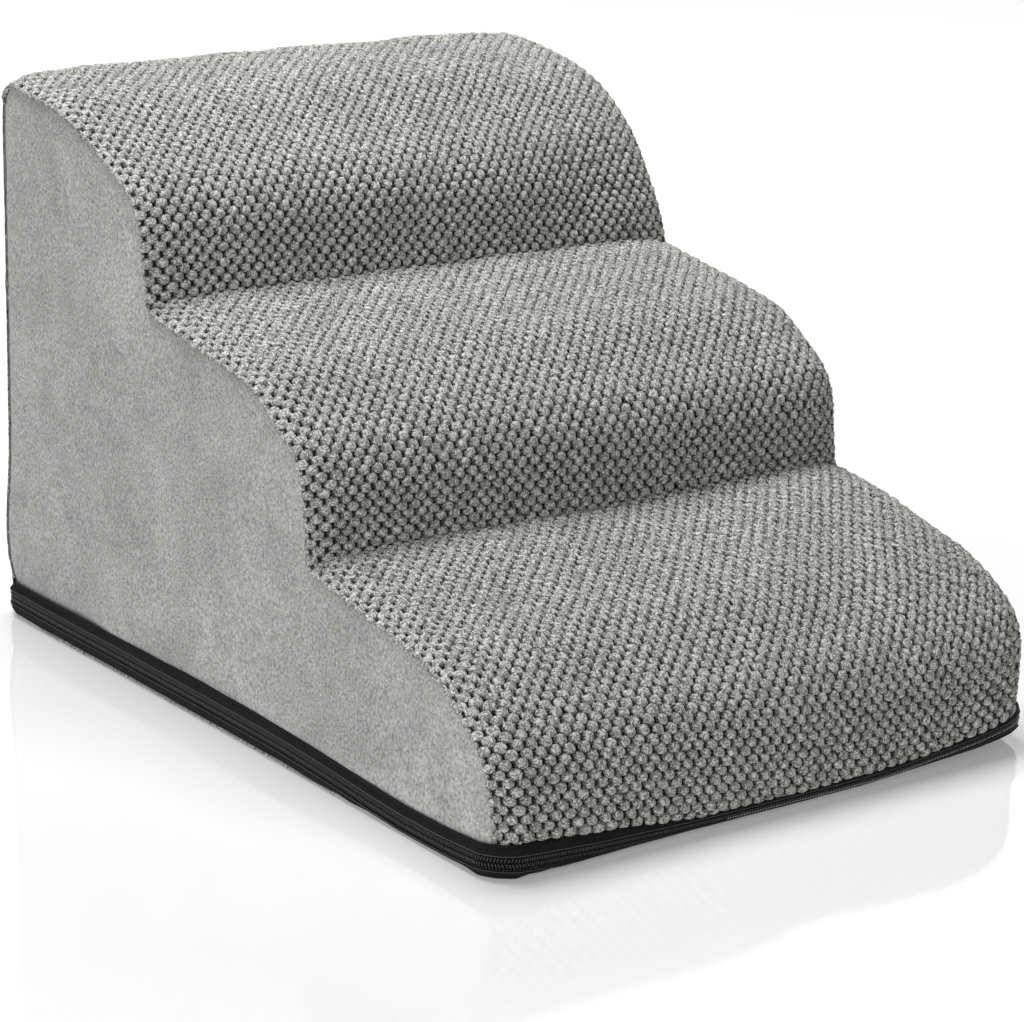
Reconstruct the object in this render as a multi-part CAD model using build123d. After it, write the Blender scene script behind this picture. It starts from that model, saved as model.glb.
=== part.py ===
from build123d import *
import os

# Pet stairs: three soft steps of glued foam in a zipped cloth cover, on a black base band.
# X runs across the treads, the low step faces -Y and Z is up. The origin is on the floor,
# under the middle of the side panels. All lengths are in millimetres.

# Outline of a side panel, which is the seam line of the cover
width = 400.0  # over the two side panels
low_run = 189.0  # front face to the first crease
step_run = 181.0  # each upper step, from its riser to the next crease or the back
low_rise = 127.0  # floor to the first crease
step_rise = 115.0  # each upper step, from its crease to the next
upper_steps = 2
band_height = 22.5  # black base band, from the floor to the cover's lower seam
nose_radius = 40.0  # where a riser turns over into its tread
brow_radius = 78.0  # where the sloping front of a tread flattens out
top_brow_radius = 150.0
crease_radius = 5.0
back_edge_radius = 15.0
least_radius = 2.0
# Corner places of each step, low step first, as shares of that step's run and rise
nose_shares = ((0.060, 0.53), (0.040, 0.52), (0.065, 0.58))
brow_shares = ((0.33, 0.82), (0.32, 0.825), (0.545, 0.915))

# Cloth and foam layers
side_thickness = 2.0  # short-nap cloth of the side panels
fleece_thickness = 6.0  # bubble fleece, from its backing to the tops of the bubbles
fleece_edge = 3.5  # the same fleece where its seam pulls it flat
crown = 5.0  # swell of the soft wrap between the side seams
hem_sag = 8.0  # how far the fleece hangs over the band in the middle of the front and back
wrap_thickness = 22.0  # soft foam sheet wrapped over the firm core
layer_gap = 0.3  # between layers that follow a curve
# Places across half the width, with the shares of the crown and of the hem's sag at each
crown_shares = (
    (0.0, 1.0, 1.0), (0.45, 0.97, 0.85), (0.76, 0.9, 0.4), (0.93, 0.6, 0.0), (1.0, 0.0, 0.0)
)

# Base band, measured outwards from the plane of the side panels
corner_radius = 22.0  # of the base, in plan
strip_thickness = 1.1  # folded black cloth
tape_stand = 2.6  # side panel plane to the back of the zip tape
tape_thickness = 0.5
foot_tuck = 1.5  # how far the lower strip is drawn in at the floor
zip_height = 12.5  # floor to the middle of the zip
hem_reach = 5.0  # middle of the zip to the folded edge of each strip
hem_lap = 2.3  # how far each strip lies flat over the tape
floor_hem = 8.5  # width of the lower strip turned in under the base
hem_thickness = 0.6
bottom_thickness = 1.5  # non-slip bottom cloth
dot_radius = 2.5
dot_pitch = 36.0
dot_margin = 8.0  # bare cloth between the turned-in hem and the nearest dot

# Zip chain: two nylon coils side by side on the faces of their tapes
coil_width = 2.7
coil_thickness = 1.4
coil_gap = 0.2  # between the two coils where they mesh
tape_gap = 0.3  # between the inner edges of the two tapes
zip_side_margin = 14.0  # closed end of the chain, short of the rear corner on the right side
zip_back_reach = 30.0  # first end of the chain, past the rear corner on the left
tape_tail = 12.0  # tape that runs on past each end of the chain
stop_length = 3.0
stop_wall = 1.1
stop_reach = 2.0  # width of one top stop across its tape
stop_half_width = 3.0  # bottom stop, from the middle of the zip
stop_web = 0.8  # half the width of the bottom stop's middle web
stop_clearance = 0.2

# Slider and pull tab
slider_length = 12.0
slider_nose = 4.5  # half the width across the shoulders
slider_tail = 3.9  # half the width where the closed chain comes out
shoulder_length = 4.0
plate_thickness = 1.2
slider_clearance = 0.3  # to the coils and the tapes
wedge_half_width = 1.5
wedge_tip = 0.3
wedge_clearance = 0.7  # wedge to the parted tape edges
bail_length = 9.5
bail_height = 3.4
bail_width = 2.2
bail_wall = 1.0
bail_radius = 1.4
pin_radius = 0.75
tab_length = 24.0
tab_width = 6.4
tab_neck = 4.8
tab_thickness = 1.2
tab_end_radius = 1.6
eye_gap = 0.5  # eye of the tab to each side of the bail
turn_clearance = 0.3  # tab to the bail as it swings over

overrun = 5.0  # how far a cut runs past what it cuts

half_width = width / 2
half_length = (low_run + upper_steps * step_run) / 2
strip_in = tape_stand + tape_thickness
strip_out = strip_in + strip_thickness
coil_out = strip_in + coil_thickness
foot_out = -foot_tuck
core_half_width = half_width - side_thickness
bottom_top = hem_thickness + bottom_thickness
chain_end_y = half_length - corner_radius - zip_side_margin
chain_start_x = -half_width + corner_radius + zip_back_reach


def seam_corners():
    """Corners of the seam line from the front foot to the back foot, each with its radius."""
    foot_y = -half_length
    foot_z = 0.0
    corners = [(foot_y, band_height, 0.0, True)]
    for step in range(upper_steps + 1):
        run = step_run if step else low_run
        rise = step_rise if step else low_rise
        top = step == upper_steps
        nose_run, nose_rise = nose_shares[step]
        brow_run, brow_rise = brow_shares[step]
        corners.append((foot_y + nose_run * run, foot_z + nose_rise * rise, nose_radius, True))
        brow = top_brow_radius if top else brow_radius
        corners.append((foot_y + brow_run * run, foot_z + brow_rise * rise, brow, True))
        foot_y += run
        foot_z += rise
        corners.append((foot_y, foot_z, back_edge_radius if top else crease_radius, top))
    corners.append((foot_y, band_height, 0.0, True))
    return corners


def meet(first, second):
    """Point where two lines cross, each given as a point and a direction."""
    (start, along), (other, across) = first, second
    gap = other - start
    turn = along.X * across.Y - along.Y * across.X
    return start + along * ((gap.X * across.Y - gap.Y * across.X) / turn)


def outline(shift, foot):
    """Face of the stair outline, moved outwards by shift, with its underside at foot."""
    corners = seam_corners()
    lines = []
    for (y, z, _, _), (next_y, next_z, _, _) in zip(corners, corners[1:]):
        along = Vector(next_y - y, next_z - z).normalized()
        outward = Vector(-along.Y, along.X)
        lines.append((Vector(y, z) + outward * shift, along))
    lines.append((Vector(0, foot), Vector(-1, 0)))
    points = [meet(lines[index - 1], lines[index]) for index in range(len(lines))]
    radii = [max(least_radius, r + shift if convex else r - shift) for _, _, r, convex in corners]
    radii[0] = radii[-1] = 0.0
    return make_face(FilletPolyline(*points, radius=radii, close=True))


def stair_prism(shift, foot, from_x, to_x):
    """Straight prism of the stair outline between two places across the width."""
    return extrude(Plane.YZ.offset(from_x) * outline(shift, foot), to_x - from_x)


def crowned(shift, foot, sag, edge_x, edge_shift):
    """Stair body that swells between its seams and runs on at edge_shift out to edge_x."""
    half = [
        (place * core_half_width, shift + crown * swell, foot - sag * drop)
        for place, swell, drop in crown_shares
    ]
    if edge_x > core_half_width:
        half.append((edge_x, edge_shift, foot))
    stations = [(-x, rise, base) for x, rise, base in reversed(half[1:])] + half
    sections = [Plane.YZ.offset(x) * outline(rise, base) for x, rise, base in stations]
    return loft(sections, ruled=True)


def plan(out):
    """Rounded plan of the base at a distance out from the side panels' plane."""
    return RectangleRounded(2 * (half_width + out), 2 * (half_length + out), corner_radius + out)


def tapered(levels):
    """Body through the base's plan at each level, given as a height and a distance out."""
    return loft([Plane.XY.offset(z) * plan(out) for z, out in levels], ruled=True)


def ring(levels, wall):
    """Band round the base through the given levels, with the given wall."""
    inner = [(z, out - wall) for z, out in levels]
    (low_z, low_out), (high_z, high_out) = inner[0], inner[-1]
    inner = [(low_z - overrun, low_out)] + inner + [(high_z + overrun, high_out)]
    return tapered(levels) - tapered(inner)


def block(x, y, z):
    """Box between two places along each axis."""
    return Pos(x[0], y[0], z[0]) * Box(
        x[1] - x[0], y[1] - y[0], z[1] - z[0], align=(Align.MIN, Align.MIN, Align.MIN)
    )


def beyond(x, y):
    """Rear right corner of the base, past x along the back and past y along the right side."""
    return block(
        (x, half_width + strip_out + overrun),
        (y, half_length + strip_out + overrun),
        (-overrun, band_height + overrun),
    )


def firm_core():
    """Three glued slabs of firm foam, each one step high and flat where the next one sits."""
    core = stair_prism(-wrap_thickness, bottom_top, -core_half_width, core_half_width)
    across = (-core_half_width - overrun, core_half_width + overrun)
    along = (-half_length - overrun, half_length + overrun)
    levels = [low_rise + step * step_rise - wrap_thickness for step in range(upper_steps)]
    levels = [bottom_top] + levels + [low_rise + upper_steps * step_rise]
    return [core & block(across, along, level) for level in zip(levels, levels[1:])]


def soft_wrap():
    """Soft foam sheet wrapped over the front, the treads and the back of the core."""
    wrap = crowned(0.0, band_height, 0.0, core_half_width, 0.0)
    inset = foot_out - strip_thickness
    wrap += extrude(Plane.XY.offset(bottom_top) * plan(inset), band_height - bottom_top)
    reach_x = core_half_width + overrun
    return wrap - stair_prism(-wrap_thickness + layer_gap, -overrun, -reach_x, reach_x)


def step_face_panel():
    """Bubble fleece over the front, the treads, the top and the back, in one strip."""
    outer = crowned(fleece_thickness, band_height, hem_sag, half_width, fleece_edge)
    inner = crowned(layer_gap, -overrun, 0.0, half_width + overrun, layer_gap)
    return outer - inner


def side_panel(side):
    """Short-nap cloth panel cut to the stair outline, on one side."""
    if side < 0:
        return stair_prism(0.0, band_height, -half_width, -core_half_width)
    return stair_prism(0.0, band_height, core_half_width, half_width)


def upper_strip():
    """Folded black cloth from the cover's lower seam down over the upper zip tape."""
    hem = zip_height + hem_reach
    return ring(
        [(hem, strip_out), (hem + hem_lap, strip_out), (band_height, strip_thickness / 2)],
        strip_thickness,
    )


def lower_strip():
    """Folded black cloth from the lower zip tape down to the floor, turned in under the base."""
    hem = zip_height - hem_reach
    wall = ring(
        [(0.0, foot_out), (hem - hem_lap, strip_out), (hem, strip_out)], strip_thickness
    )
    turned_in = plan(foot_out) - plan(foot_out - floor_hem)
    return wall + extrude(turned_in, hem_thickness)


def bottom_panel():
    """Non-slip cloth under the core, sewn onto the turned-in hem of the lower strip."""
    face = plan(foot_out - strip_thickness)
    return extrude(Plane.XY.offset(hem_thickness) * face, bottom_thickness)


def grip_dots():
    """Rubbery dots on the underside, level with the hem that the stairs stand on."""
    reach_x = half_width - foot_tuck - floor_hem - dot_margin
    reach_y = half_length - foot_tuck - floor_hem - dot_margin
    across = int(reach_x // dot_pitch)
    along = int(reach_y // dot_pitch)
    dot = Cylinder(dot_radius, hem_thickness, align=(Align.CENTER, Align.CENTER, Align.MIN))
    places = [
        Pos(column * dot_pitch, row * dot_pitch)
        for column in range(-across, across + 1)
        for row in range(-along, along + 1)
    ]
    return Compound([place * dot for place in places])


def nose_y():
    """Front end of the slider at the closed end of the chain, past the tip of its wedge."""
    return chain_end_y + slider_clearance + shoulder_length + plate_thickness


def tape_end_y():
    """End of the tapes past the closed end of the chain."""
    return nose_y() + stop_clearance + stop_length + tape_tail / 2


def band_loop(z, inner_out, outer_out):
    """Plain band round the base between two heights and two distances out."""
    loop = plan(outer_out) - plan(inner_out)
    return extrude(Plane.XY.offset(z[0]) * loop, z[1] - z[0])


def on_back(x, out, z):
    """Box on the outside of the back, given by its distances out."""
    return block(x, (half_length + out[0], half_length + out[1]), z)


def on_right(y, out, z):
    """Box on the outside of the right side, given by its distances out."""
    return block((half_width + out[0], half_width + out[1]), y, z)


def zip_tape(side):
    """One zip tape, with its inner edge cut away round the bottom stop and the parted end."""
    inner = zip_height + side * tape_gap / 2
    outer = zip_height + side * (hem_reach + hem_lap - tape_gap / 2)
    tape = band_loop(sorted((inner, outer)), tape_stand, strip_in)
    tape -= beyond(chain_start_x + tape_tail, tape_end_y())
    through = (-overrun + tape_stand, strip_in + overrun)
    web = stop_web + stop_clearance
    stop_x = (chain_start_x + stop_clearance / 2, chain_start_x + stop_length + 2 * stop_clearance)
    tape -= on_back(stop_x, through, (zip_height - web, zip_height + web))
    parted = wedge_half_width + wedge_clearance
    end_y = (chain_end_y, tape_end_y() + overrun)
    return tape - on_right(end_y, through, (zip_height - parted, zip_height + parted))


def zip_coil(side):
    """One nylon coil, as the plain bar that its turns fill."""
    inner = zip_height + side * coil_gap / 2
    outer = inner + side * coil_width
    coil = band_loop(sorted((inner, outer)), strip_in, coil_out)
    return coil - beyond(chain_start_x, chain_end_y)


def bridge_cloth():
    """Plain black cloth that closes the band where the zip doesn't run."""
    low = zip_height - hem_reach - hem_lap + tape_gap / 2
    high = zip_height + hem_reach + hem_lap - tape_gap / 2
    cloth = band_loop((low, high), tape_stand, strip_in)
    return cloth & beyond(chain_start_x + tape_tail + layer_gap, tape_end_y() + layer_gap)


def bottom_stop():
    """Moulded stop at the first end of the chain, a front and a back plate round the tapes."""
    x = (chain_start_x + stop_clearance, chain_start_x + stop_clearance + stop_length)
    z = (zip_height - stop_half_width, zip_height + stop_half_width)
    web = (zip_height - stop_web, zip_height + stop_web)
    front = on_back(x, (strip_in, strip_in + stop_wall), z)
    back = on_back(x, (tape_stand - stop_wall, tape_stand), z)
    return front + back + on_back(x, (tape_stand - stop_wall, strip_in + stop_wall), web)


def top_stops():
    """Two clips, each crimped round the parted edge of one tape ahead of the slider."""
    y = (nose_y() + stop_clearance, nose_y() + stop_clearance + stop_length)
    edge = wedge_half_width + wedge_clearance
    stops = []
    for side in (-1, 1):
        near = zip_height + side * (edge - stop_wall)
        far = zip_height + side * (edge + stop_reach)
        at_edge = zip_height + side * edge
        clip = on_right(y, (tape_stand - stop_wall, strip_in + stop_wall), sorted((near, far)))
        beside = sorted((at_edge, far + side * overrun))
        stops.append(clip - on_right(y, (tape_stand, strip_in), beside))
    return Compound(stops)


def slider_face(extra):
    """Outline of a slider plate seen from outside, shoulders towards the open end."""
    nose = nose_y()
    tail = nose - slider_length
    half = [
        (nose, slider_nose - plate_thickness / 2),
        (nose - plate_thickness / 2, slider_nose),
        (nose - shoulder_length, slider_nose),
        (nose - shoulder_length - plate_thickness, slider_tail),
        (tail + plate_thickness / 2, slider_tail),
        (tail, slider_tail - plate_thickness / 2),
    ]
    upper = [(y, zip_height + z + extra) for y, z in half]
    lower = [(y, zip_height - z - extra) for y, z in reversed(half)]
    return make_face(Polyline(*upper, *lower, close=True))


def slab_out(face, low, high):
    """Plate standing on the right side between two distances out."""
    return extrude(Plane.YZ.offset(half_width + low) * face, high - low)


def slider_body():
    """Cast slider body: front and back plates, the wedge between them and two guiding rims."""
    face_in = coil_out + slider_clearance
    back_out = tape_stand - slider_clearance
    body = slab_out(slider_face(0.0), face_in, face_in + plate_thickness)
    body += slab_out(slider_face(0.0), back_out - plate_thickness, back_out)
    rims = slab_out(slider_face(0.0), strip_in + slider_clearance, face_in)
    channel = coil_gap / 2 + coil_width + slider_clearance
    along = (nose_y() - slider_length - overrun, nose_y() + overrun)
    across = (zip_height - channel, zip_height + channel)
    rims -= on_right(along, (-overrun, coil_out + overrun), across)
    tip_y = chain_end_y + slider_clearance
    wedge = make_face(
        Polyline(
            (tip_y, zip_height - wedge_tip),
            (tip_y, zip_height + wedge_tip),
            (nose_y() - plate_thickness / 2, zip_height + wedge_half_width),
            (nose_y() - plate_thickness / 2, zip_height - wedge_half_width),
            close=True,
        )
    )
    return body + rims + slab_out(wedge, back_out - plate_thickness / 2, face_in + plate_thickness / 2)


def bail_foot():
    """Distance out of the slider's front face, where the bail stands."""
    return coil_out + slider_clearance + plate_thickness


def pivot():
    """Middle of the pull tab's pin: its distance out and its place along the side."""
    return bail_foot() + (bail_height - bail_wall) / 2, nose_y() - slider_length / 2


def bail_sweep():
    """Greatest distance from the pull tab's pin to any point of the bail."""
    above_pin = bail_height - (bail_height - bail_wall) / 2
    return ((bail_length / 2) ** 2 + above_pin ** 2) ** 0.5


def slider_bail():
    """Arched bail on the slider's front plate, which the pull tab hangs on."""
    _, middle_y = pivot()
    foot_x = half_width + bail_foot()
    low_z = zip_height - bail_width / 2
    arch = Pos(foot_x, middle_y) * Rectangle(2 * bail_height, bail_length)
    arch = fillet(arch.vertices(), bail_radius)
    space = Pos(foot_x, middle_y) * Rectangle(
        2 * (bail_height - bail_wall), bail_length - 2 * bail_wall
    )
    arch = extrude(Plane.XY.offset(low_z) * (arch - space), bail_width)
    reach = bail_length
    behind = block(
        (foot_x - reach, foot_x), (middle_y - reach, middle_y + reach), (0, 2 * zip_height)
    )
    return arch - behind


def pull_tab():
    """Pull tab lying along the closed chain, with its pin under the bail."""
    out, pivot_y = pivot()
    eye_half = bail_width / 2 + eye_gap
    eye_end = bail_sweep() + turn_clearance
    half = [
        (pivot_y, tab_width / 2),
        (pivot_y - eye_end - tab_thickness, tab_width / 2),
        (pivot_y - eye_end - 2 * tab_thickness, tab_neck / 2),
        (pivot_y - tab_length, tab_width / 2),
    ]
    upper = [(y, zip_height + z) for y, z in half]
    lower = [(y, zip_height - z) for y, z in reversed(half)]
    face = make_face(Polyline(*upper, *lower, close=True))
    ends = face.vertices().sort_by(Axis.X)[:2]
    face = fillet(ends, tab_end_radius)
    eye = Pos(pivot_y - eye_end / 2, zip_height) * Rectangle(eye_end, 2 * eye_half)
    tab = slab_out(face - eye, out - tab_thickness / 2, out + tab_thickness / 2)
    pin = Pos(half_width + out, pivot_y, zip_height) * Cylinder(pin_radius, tab_width)
    return tab + pin


def write(node, shape):
    """Write one sub-part and print its volume in cubic centimetres."""
    export_step(shape, f"parts/{node}.step")
    print(f"{node}: {shape.volume / CM ** 3:.2f} cm3")


os.makedirs("parts", exist_ok=True)
for name, slab in zip(("foam_base_slab", "foam_middle_slab", "foam_top_slab"), firm_core()):
    write(name, slab)
write("soft_wrap", soft_wrap())
write("step_face_panel", step_face_panel())
write("left_side_panel", side_panel(-1))
write("right_side_panel", side_panel(1))
write("upper_strip", upper_strip())
write("lower_strip", lower_strip())
write("bottom_panel", bottom_panel())
write("grip_dots", grip_dots())
write("bridge_cloth", bridge_cloth())
write("zip_upper_tape", zip_tape(1))
write("zip_lower_tape", zip_tape(-1))
write("zip_upper_coil", zip_coil(1))
write("zip_lower_coil", zip_coil(-1))
write("zip_bottom_stop", bottom_stop())
write("zip_top_stops", top_stops())
write("zip_slider_body", slider_body())
write("zip_slider_bail", slider_bail())
write("zip_pull_tab", pull_tab())
out_of_panel, along_side = pivot()
print(f"pull tab pin: {half_width + out_of_panel:.3f}, {along_side:.3f}, {zip_height:.3f}")
straight = nose_y() - slider_length + half_length - corner_radius
print(f"straight chain ahead of the slider's tail on the right side: {straight:.1f} mm")
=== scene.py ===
# %% [markdown]
# # Pet stairs
# Three soft foam steps in a zipped cloth cover. The treads and risers wear one strip of grey
# fleece whose pile stands in thousands of round bubbles, the sides are smooth short-nap cloth,
# and a black base band holds the zip that lets the cover come off for washing.
# The pieces are worked out in millimetres and turned into metres when a mesh is made. Textures,
# lamps and the camera are in metres from the start.

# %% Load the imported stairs
import math

import bpy
import numpy as np
from mathutils import Matrix, Vector
from mathutils.geometry import delaunay_2d_cdt


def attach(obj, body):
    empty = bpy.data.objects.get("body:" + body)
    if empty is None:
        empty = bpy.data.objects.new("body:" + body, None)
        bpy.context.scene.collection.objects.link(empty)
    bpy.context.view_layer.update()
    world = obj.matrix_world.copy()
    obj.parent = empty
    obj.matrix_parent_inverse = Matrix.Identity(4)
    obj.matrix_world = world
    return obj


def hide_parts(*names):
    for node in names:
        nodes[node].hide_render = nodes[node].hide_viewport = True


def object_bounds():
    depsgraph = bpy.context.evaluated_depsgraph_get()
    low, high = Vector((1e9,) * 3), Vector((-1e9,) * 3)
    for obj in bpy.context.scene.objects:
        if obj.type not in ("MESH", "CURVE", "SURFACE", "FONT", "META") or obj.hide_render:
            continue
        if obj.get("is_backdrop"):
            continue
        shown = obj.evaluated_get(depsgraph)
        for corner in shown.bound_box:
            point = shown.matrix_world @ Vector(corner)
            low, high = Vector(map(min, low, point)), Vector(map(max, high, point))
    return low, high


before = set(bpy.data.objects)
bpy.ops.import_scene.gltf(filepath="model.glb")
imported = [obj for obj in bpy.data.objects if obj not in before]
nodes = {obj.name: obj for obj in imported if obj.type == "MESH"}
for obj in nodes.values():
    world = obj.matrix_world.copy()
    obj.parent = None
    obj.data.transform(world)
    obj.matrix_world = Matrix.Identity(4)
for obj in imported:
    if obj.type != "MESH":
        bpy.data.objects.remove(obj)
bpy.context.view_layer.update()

# %% [markdown]
# ## Shape of the steps
# The cover is cut to a side outline with three soft noses. Each step's riser leans back a little,
# turns over in a nose, slopes up in a brow and runs on nearly flat to the next crease. The same
# outline, moved in or out, gives the foam, the side panels and the fleece, so all of it is read
# from one family of lines.

# %% Outline of the steps
MM = 0.001
HALF_WIDTH = 200.0
RUNS = (189.0, 181.0, 181.0)
RISES = (127.0, 115.0, 115.0)
# (share of the run, share of the rise) where each step's nose and brow turn
NOSE_SHARES = ((0.060, 0.53), (0.040, 0.52), (0.065, 0.58))
BROW_SHARES = ((0.33, 0.82), (0.32, 0.825), (0.545, 0.915))
NOSE_RADIUS = 40.0
BROW_RADII = (78.0, 78.0, 150.0)
CREASE_RADIUS = 5.0  # where a riser meets the tread below it
BACK_EDGE_RADIUS = 15.0
LEAST_RADIUS = 2.0
HALF_LENGTH = sum(RUNS) / 2
HEIGHT = sum(RISES)
BAND_HEIGHT = 22.5
POINT_GAP = 0.25  # between the points of the finest outline


def seam_corners():
    """Corners (y, z, radius, convex) of the seam line, from the front foot to the back foot."""
    foot_y, foot_z = -HALF_LENGTH, 0.0
    corners = [(foot_y, foot_z, 0.0, True)]
    for step, (run, rise) in enumerate(zip(RUNS, RISES)):
        last = step == len(RUNS) - 1
        nose, brow = NOSE_SHARES[step], BROW_SHARES[step]
        corners.append((foot_y + nose[0] * run, foot_z + nose[1] * rise, NOSE_RADIUS, True))
        corners.append((foot_y + brow[0] * run, foot_z + brow[1] * rise, BROW_RADII[step], True))
        foot_y, foot_z = foot_y + run, foot_z + rise
        corners.append((foot_y, foot_z, BACK_EDGE_RADIUS if last else CREASE_RADIUS, last))
    corners.append((foot_y, 0.0, 0.0, True))
    return corners


def stair_line(shift, counts=None):
    """Points of the seam line moved out by shift, with the same count on each run and bend."""
    corners = seam_corners()
    places = np.array([corner[:2] for corner in corners])
    along = np.diff(places, axis=0)
    along /= np.linalg.norm(along, axis=1)[:, None]
    starts = places[:-1] + shift * np.stack([-along[:, 1], along[:, 0]], 1)
    moved = [np.array([starts[0][0] - along[0][0] / along[0][1] * starts[0][1], 0.0])]
    for k in range(1, len(starts)):
        u, v, gap = along[k - 1], along[k], starts[k] - starts[k - 1]
        reach = (gap[0] * v[1] - gap[1] * v[0]) / (u[0] * v[1] - u[1] * v[0])
        moved.append(starts[k - 1] + reach * u)
    moved.append(np.array([starts[-1][0], 0.0]))
    runs, last = [], moved[0]
    for k in range(1, len(moved) - 1):
        before, after = moved[k - 1] - moved[k], moved[k + 1] - moved[k]
        before, after = before / np.linalg.norm(before), after / np.linalg.norm(after)
        radius = corners[k][2] + (shift if corners[k][3] else -shift)
        radius = max(LEAST_RADIUS, radius)
        half = math.acos(np.clip(before @ after, -1, 1)) / 2
        first = moved[k] + before * radius / math.tan(half)
        final = moved[k] + after * radius / math.tan(half)
        middle = before + after
        centre = moved[k] + middle / np.linalg.norm(middle) * radius / math.sin(half)
        runs.append(("run", last, first))
        runs.append(("bend", first, final, centre))
        last = final
    runs.append(("run", last, moved[-1]))
    points = [moved[0][None]]  # each run and bend adds its own, after the foot
    for k, piece in enumerate(runs):
        first, final = piece[1], piece[2]
        if piece[0] == "run":
            size = np.linalg.norm(final - first)
        else:
            a, b = first - piece[3], final - piece[3]
            turn = math.atan2(a[0] * b[1] - a[1] * b[0], a @ b)
            size = abs(turn) * np.linalg.norm(a)
        count = counts[k] if counts else max(8, int(size / POINT_GAP))
        t = np.arange(1, count + 1) / count
        if piece[0] == "run":
            points.append(first + t[:, None] * (final - first))
        else:
            c, s = np.cos(t * turn), np.sin(t * turn)
            points.append(piece[3] + np.stack([a[0] * c - a[1] * s, a[0] * s + a[1] * c], 1))
    return np.concatenate(points), [len(p) for p in points[1:]]


PILE_LEVEL = 5.0  # the outline that lengths along the steps are measured on
_, COUNTS = stair_line(PILE_LEVEL)
SHIFT_STEP = 1.0
SHIFTS = np.arange(-60.0, 21.0, SHIFT_STEP)  # from deep in the foam to outside the pile
LINES = np.stack([stair_line(s, COUNTS)[0] for s in SHIFTS])
measured = LINES[np.searchsorted(SHIFTS, PILE_LEVEL)]
TRAVEL = np.concatenate([[0], np.cumsum(np.linalg.norm(np.diff(measured, axis=0), axis=1))])
TOTAL = TRAVEL[-1]
print("length of the outline in mm:", round(TOTAL, 1), "points:", len(TRAVEL))


def on_line(along, shift):
    """(y, z) at each length along the steps and each distance out of the seam line."""
    row = np.interp(along, TRAVEL, np.arange(len(TRAVEL)))
    r0 = np.clip(row.astype(int), 0, len(TRAVEL) - 2)
    rf = (row - r0)[..., None]
    level = np.clip((shift - SHIFTS[0]) / SHIFT_STEP, 0, len(SHIFTS) - 1.001)
    k0 = level.astype(int)
    kf = (level - k0)[..., None]
    low = LINES[k0, r0] * (1 - rf) + LINES[k0, r0 + 1] * rf
    high = LINES[k0 + 1, r0] * (1 - rf) + LINES[k0 + 1, r0 + 1] * rf
    return low * (1 - kf) + high * kf


# %% [markdown]
# ## Mesh helpers
# Cloth is woven or knitted flat and then pulled over the foam, so most pieces are grids that
# follow two lengths, one along the cloth and one across it.

# %% Mesh helpers
def grid_faces(rows, columns, closed=False):
    """Quads of a grid whose points run along its columns first."""
    row = np.arange(rows - 1)[:, None] * columns
    span = columns if closed else columns - 1
    a = row + np.arange(span)
    b = row + (np.arange(span) + 1) % columns
    return np.stack([a, b, b + columns, a + columns], -1).reshape(-1, 4)


def add_mesh(name, points, faces, material, smooth=True, flat_map=None, pile=None):
    """A mesh object in the stairs' body, from points in millimetres."""
    mesh = bpy.data.meshes.new(name)
    if isinstance(faces, np.ndarray):
        count, sides = faces.shape
        mesh.vertices.add(len(points))
        mesh.vertices.foreach_set("co", (np.asarray(points) * MM).astype(np.float32).ravel())
        mesh.loops.add(count * sides)
        mesh.loops.foreach_set("vertex_index", faces.astype(np.int32).ravel())
        mesh.polygons.add(count)
        mesh.polygons.foreach_set("loop_start", np.arange(0, count * sides, sides, dtype=np.int32))
        mesh.update(calc_edges=True)
    else:
        mesh.from_pydata(np.asarray(points) * MM, [], faces)
    if flat_map is not None:
        layer = mesh.uv_layers.new(name="OFBake", do_init=False)
        corner = np.zeros(len(mesh.loops), np.int32)
        mesh.loops.foreach_get("vertex_index", corner)
        layer.uv.foreach_set("vector", flat_map[corner].astype(np.float32).ravel())
    if pile is not None:
        layer = mesh.attributes.new("pile", "FLOAT", "POINT")
        layer.data.foreach_set("value", pile.astype(np.float32))
    mesh.polygons.foreach_set("use_smooth", np.full(len(mesh.polygons), smooth))
    mesh.materials.append(material)
    mesh.update()
    obj = bpy.data.objects.new(name, mesh)
    bpy.context.scene.collection.objects.link(obj)
    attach(obj, "stairs")
    return obj


def inset(flat_map):
    """A flat map drawn in a little from the edges of its square."""
    return flat_map * 0.996 + 0.002


def used_only(points, faces, *extras):
    """The points that faces use, with the faces renumbered to match."""
    used, renumbered = np.unique(faces, return_inverse=True)
    kept = [extra[used] for extra in extras]
    return (points[used], renumbered.reshape(faces.shape), *kept)


def waves(seed, sizes, count=24):
    """A smooth random function of two lengths, with waves about as long as sizes."""
    rng = np.random.default_rng(seed)
    low, high = sizes
    length = rng.uniform(low, high, count)
    heading = rng.uniform(0, 2 * np.pi, count)
    phase = rng.uniform(0, 2 * np.pi, count)
    kx, ky = 2 * np.pi / length * np.cos(heading), 2 * np.pi / length * np.sin(heading)

    def value(x, y):
        total = np.zeros(np.broadcast(x, y).shape)
        for a, b, c in zip(kx, ky, phase):
            total += np.sin(a * x + b * y + c)
        return total / math.sqrt(count / 2)

    return value


# %% [markdown]
# ## Foot of the stairs
# The cover is square at the top but its foot follows the base, whose corners are soft: small at
# the back left, where the cloth pulls out a little, and long at the front right, where the
# corner lifts off the floor. Every strip of the band follows one line round the base, so a place
# on a strip is a length along that line, a distance out of it and a height.

# %% Line round the base
# (x radius, y radius) of each corner, named by the signs of its x and y
CORNERS = {(-1, 1): (8.0, 8.0), (-1, -1): (16.0, 16.0), (1, -1): (24.0, 20.0), (1, 1): (20.0, 20.0)}
CORNER_STEPS = 32


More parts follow.
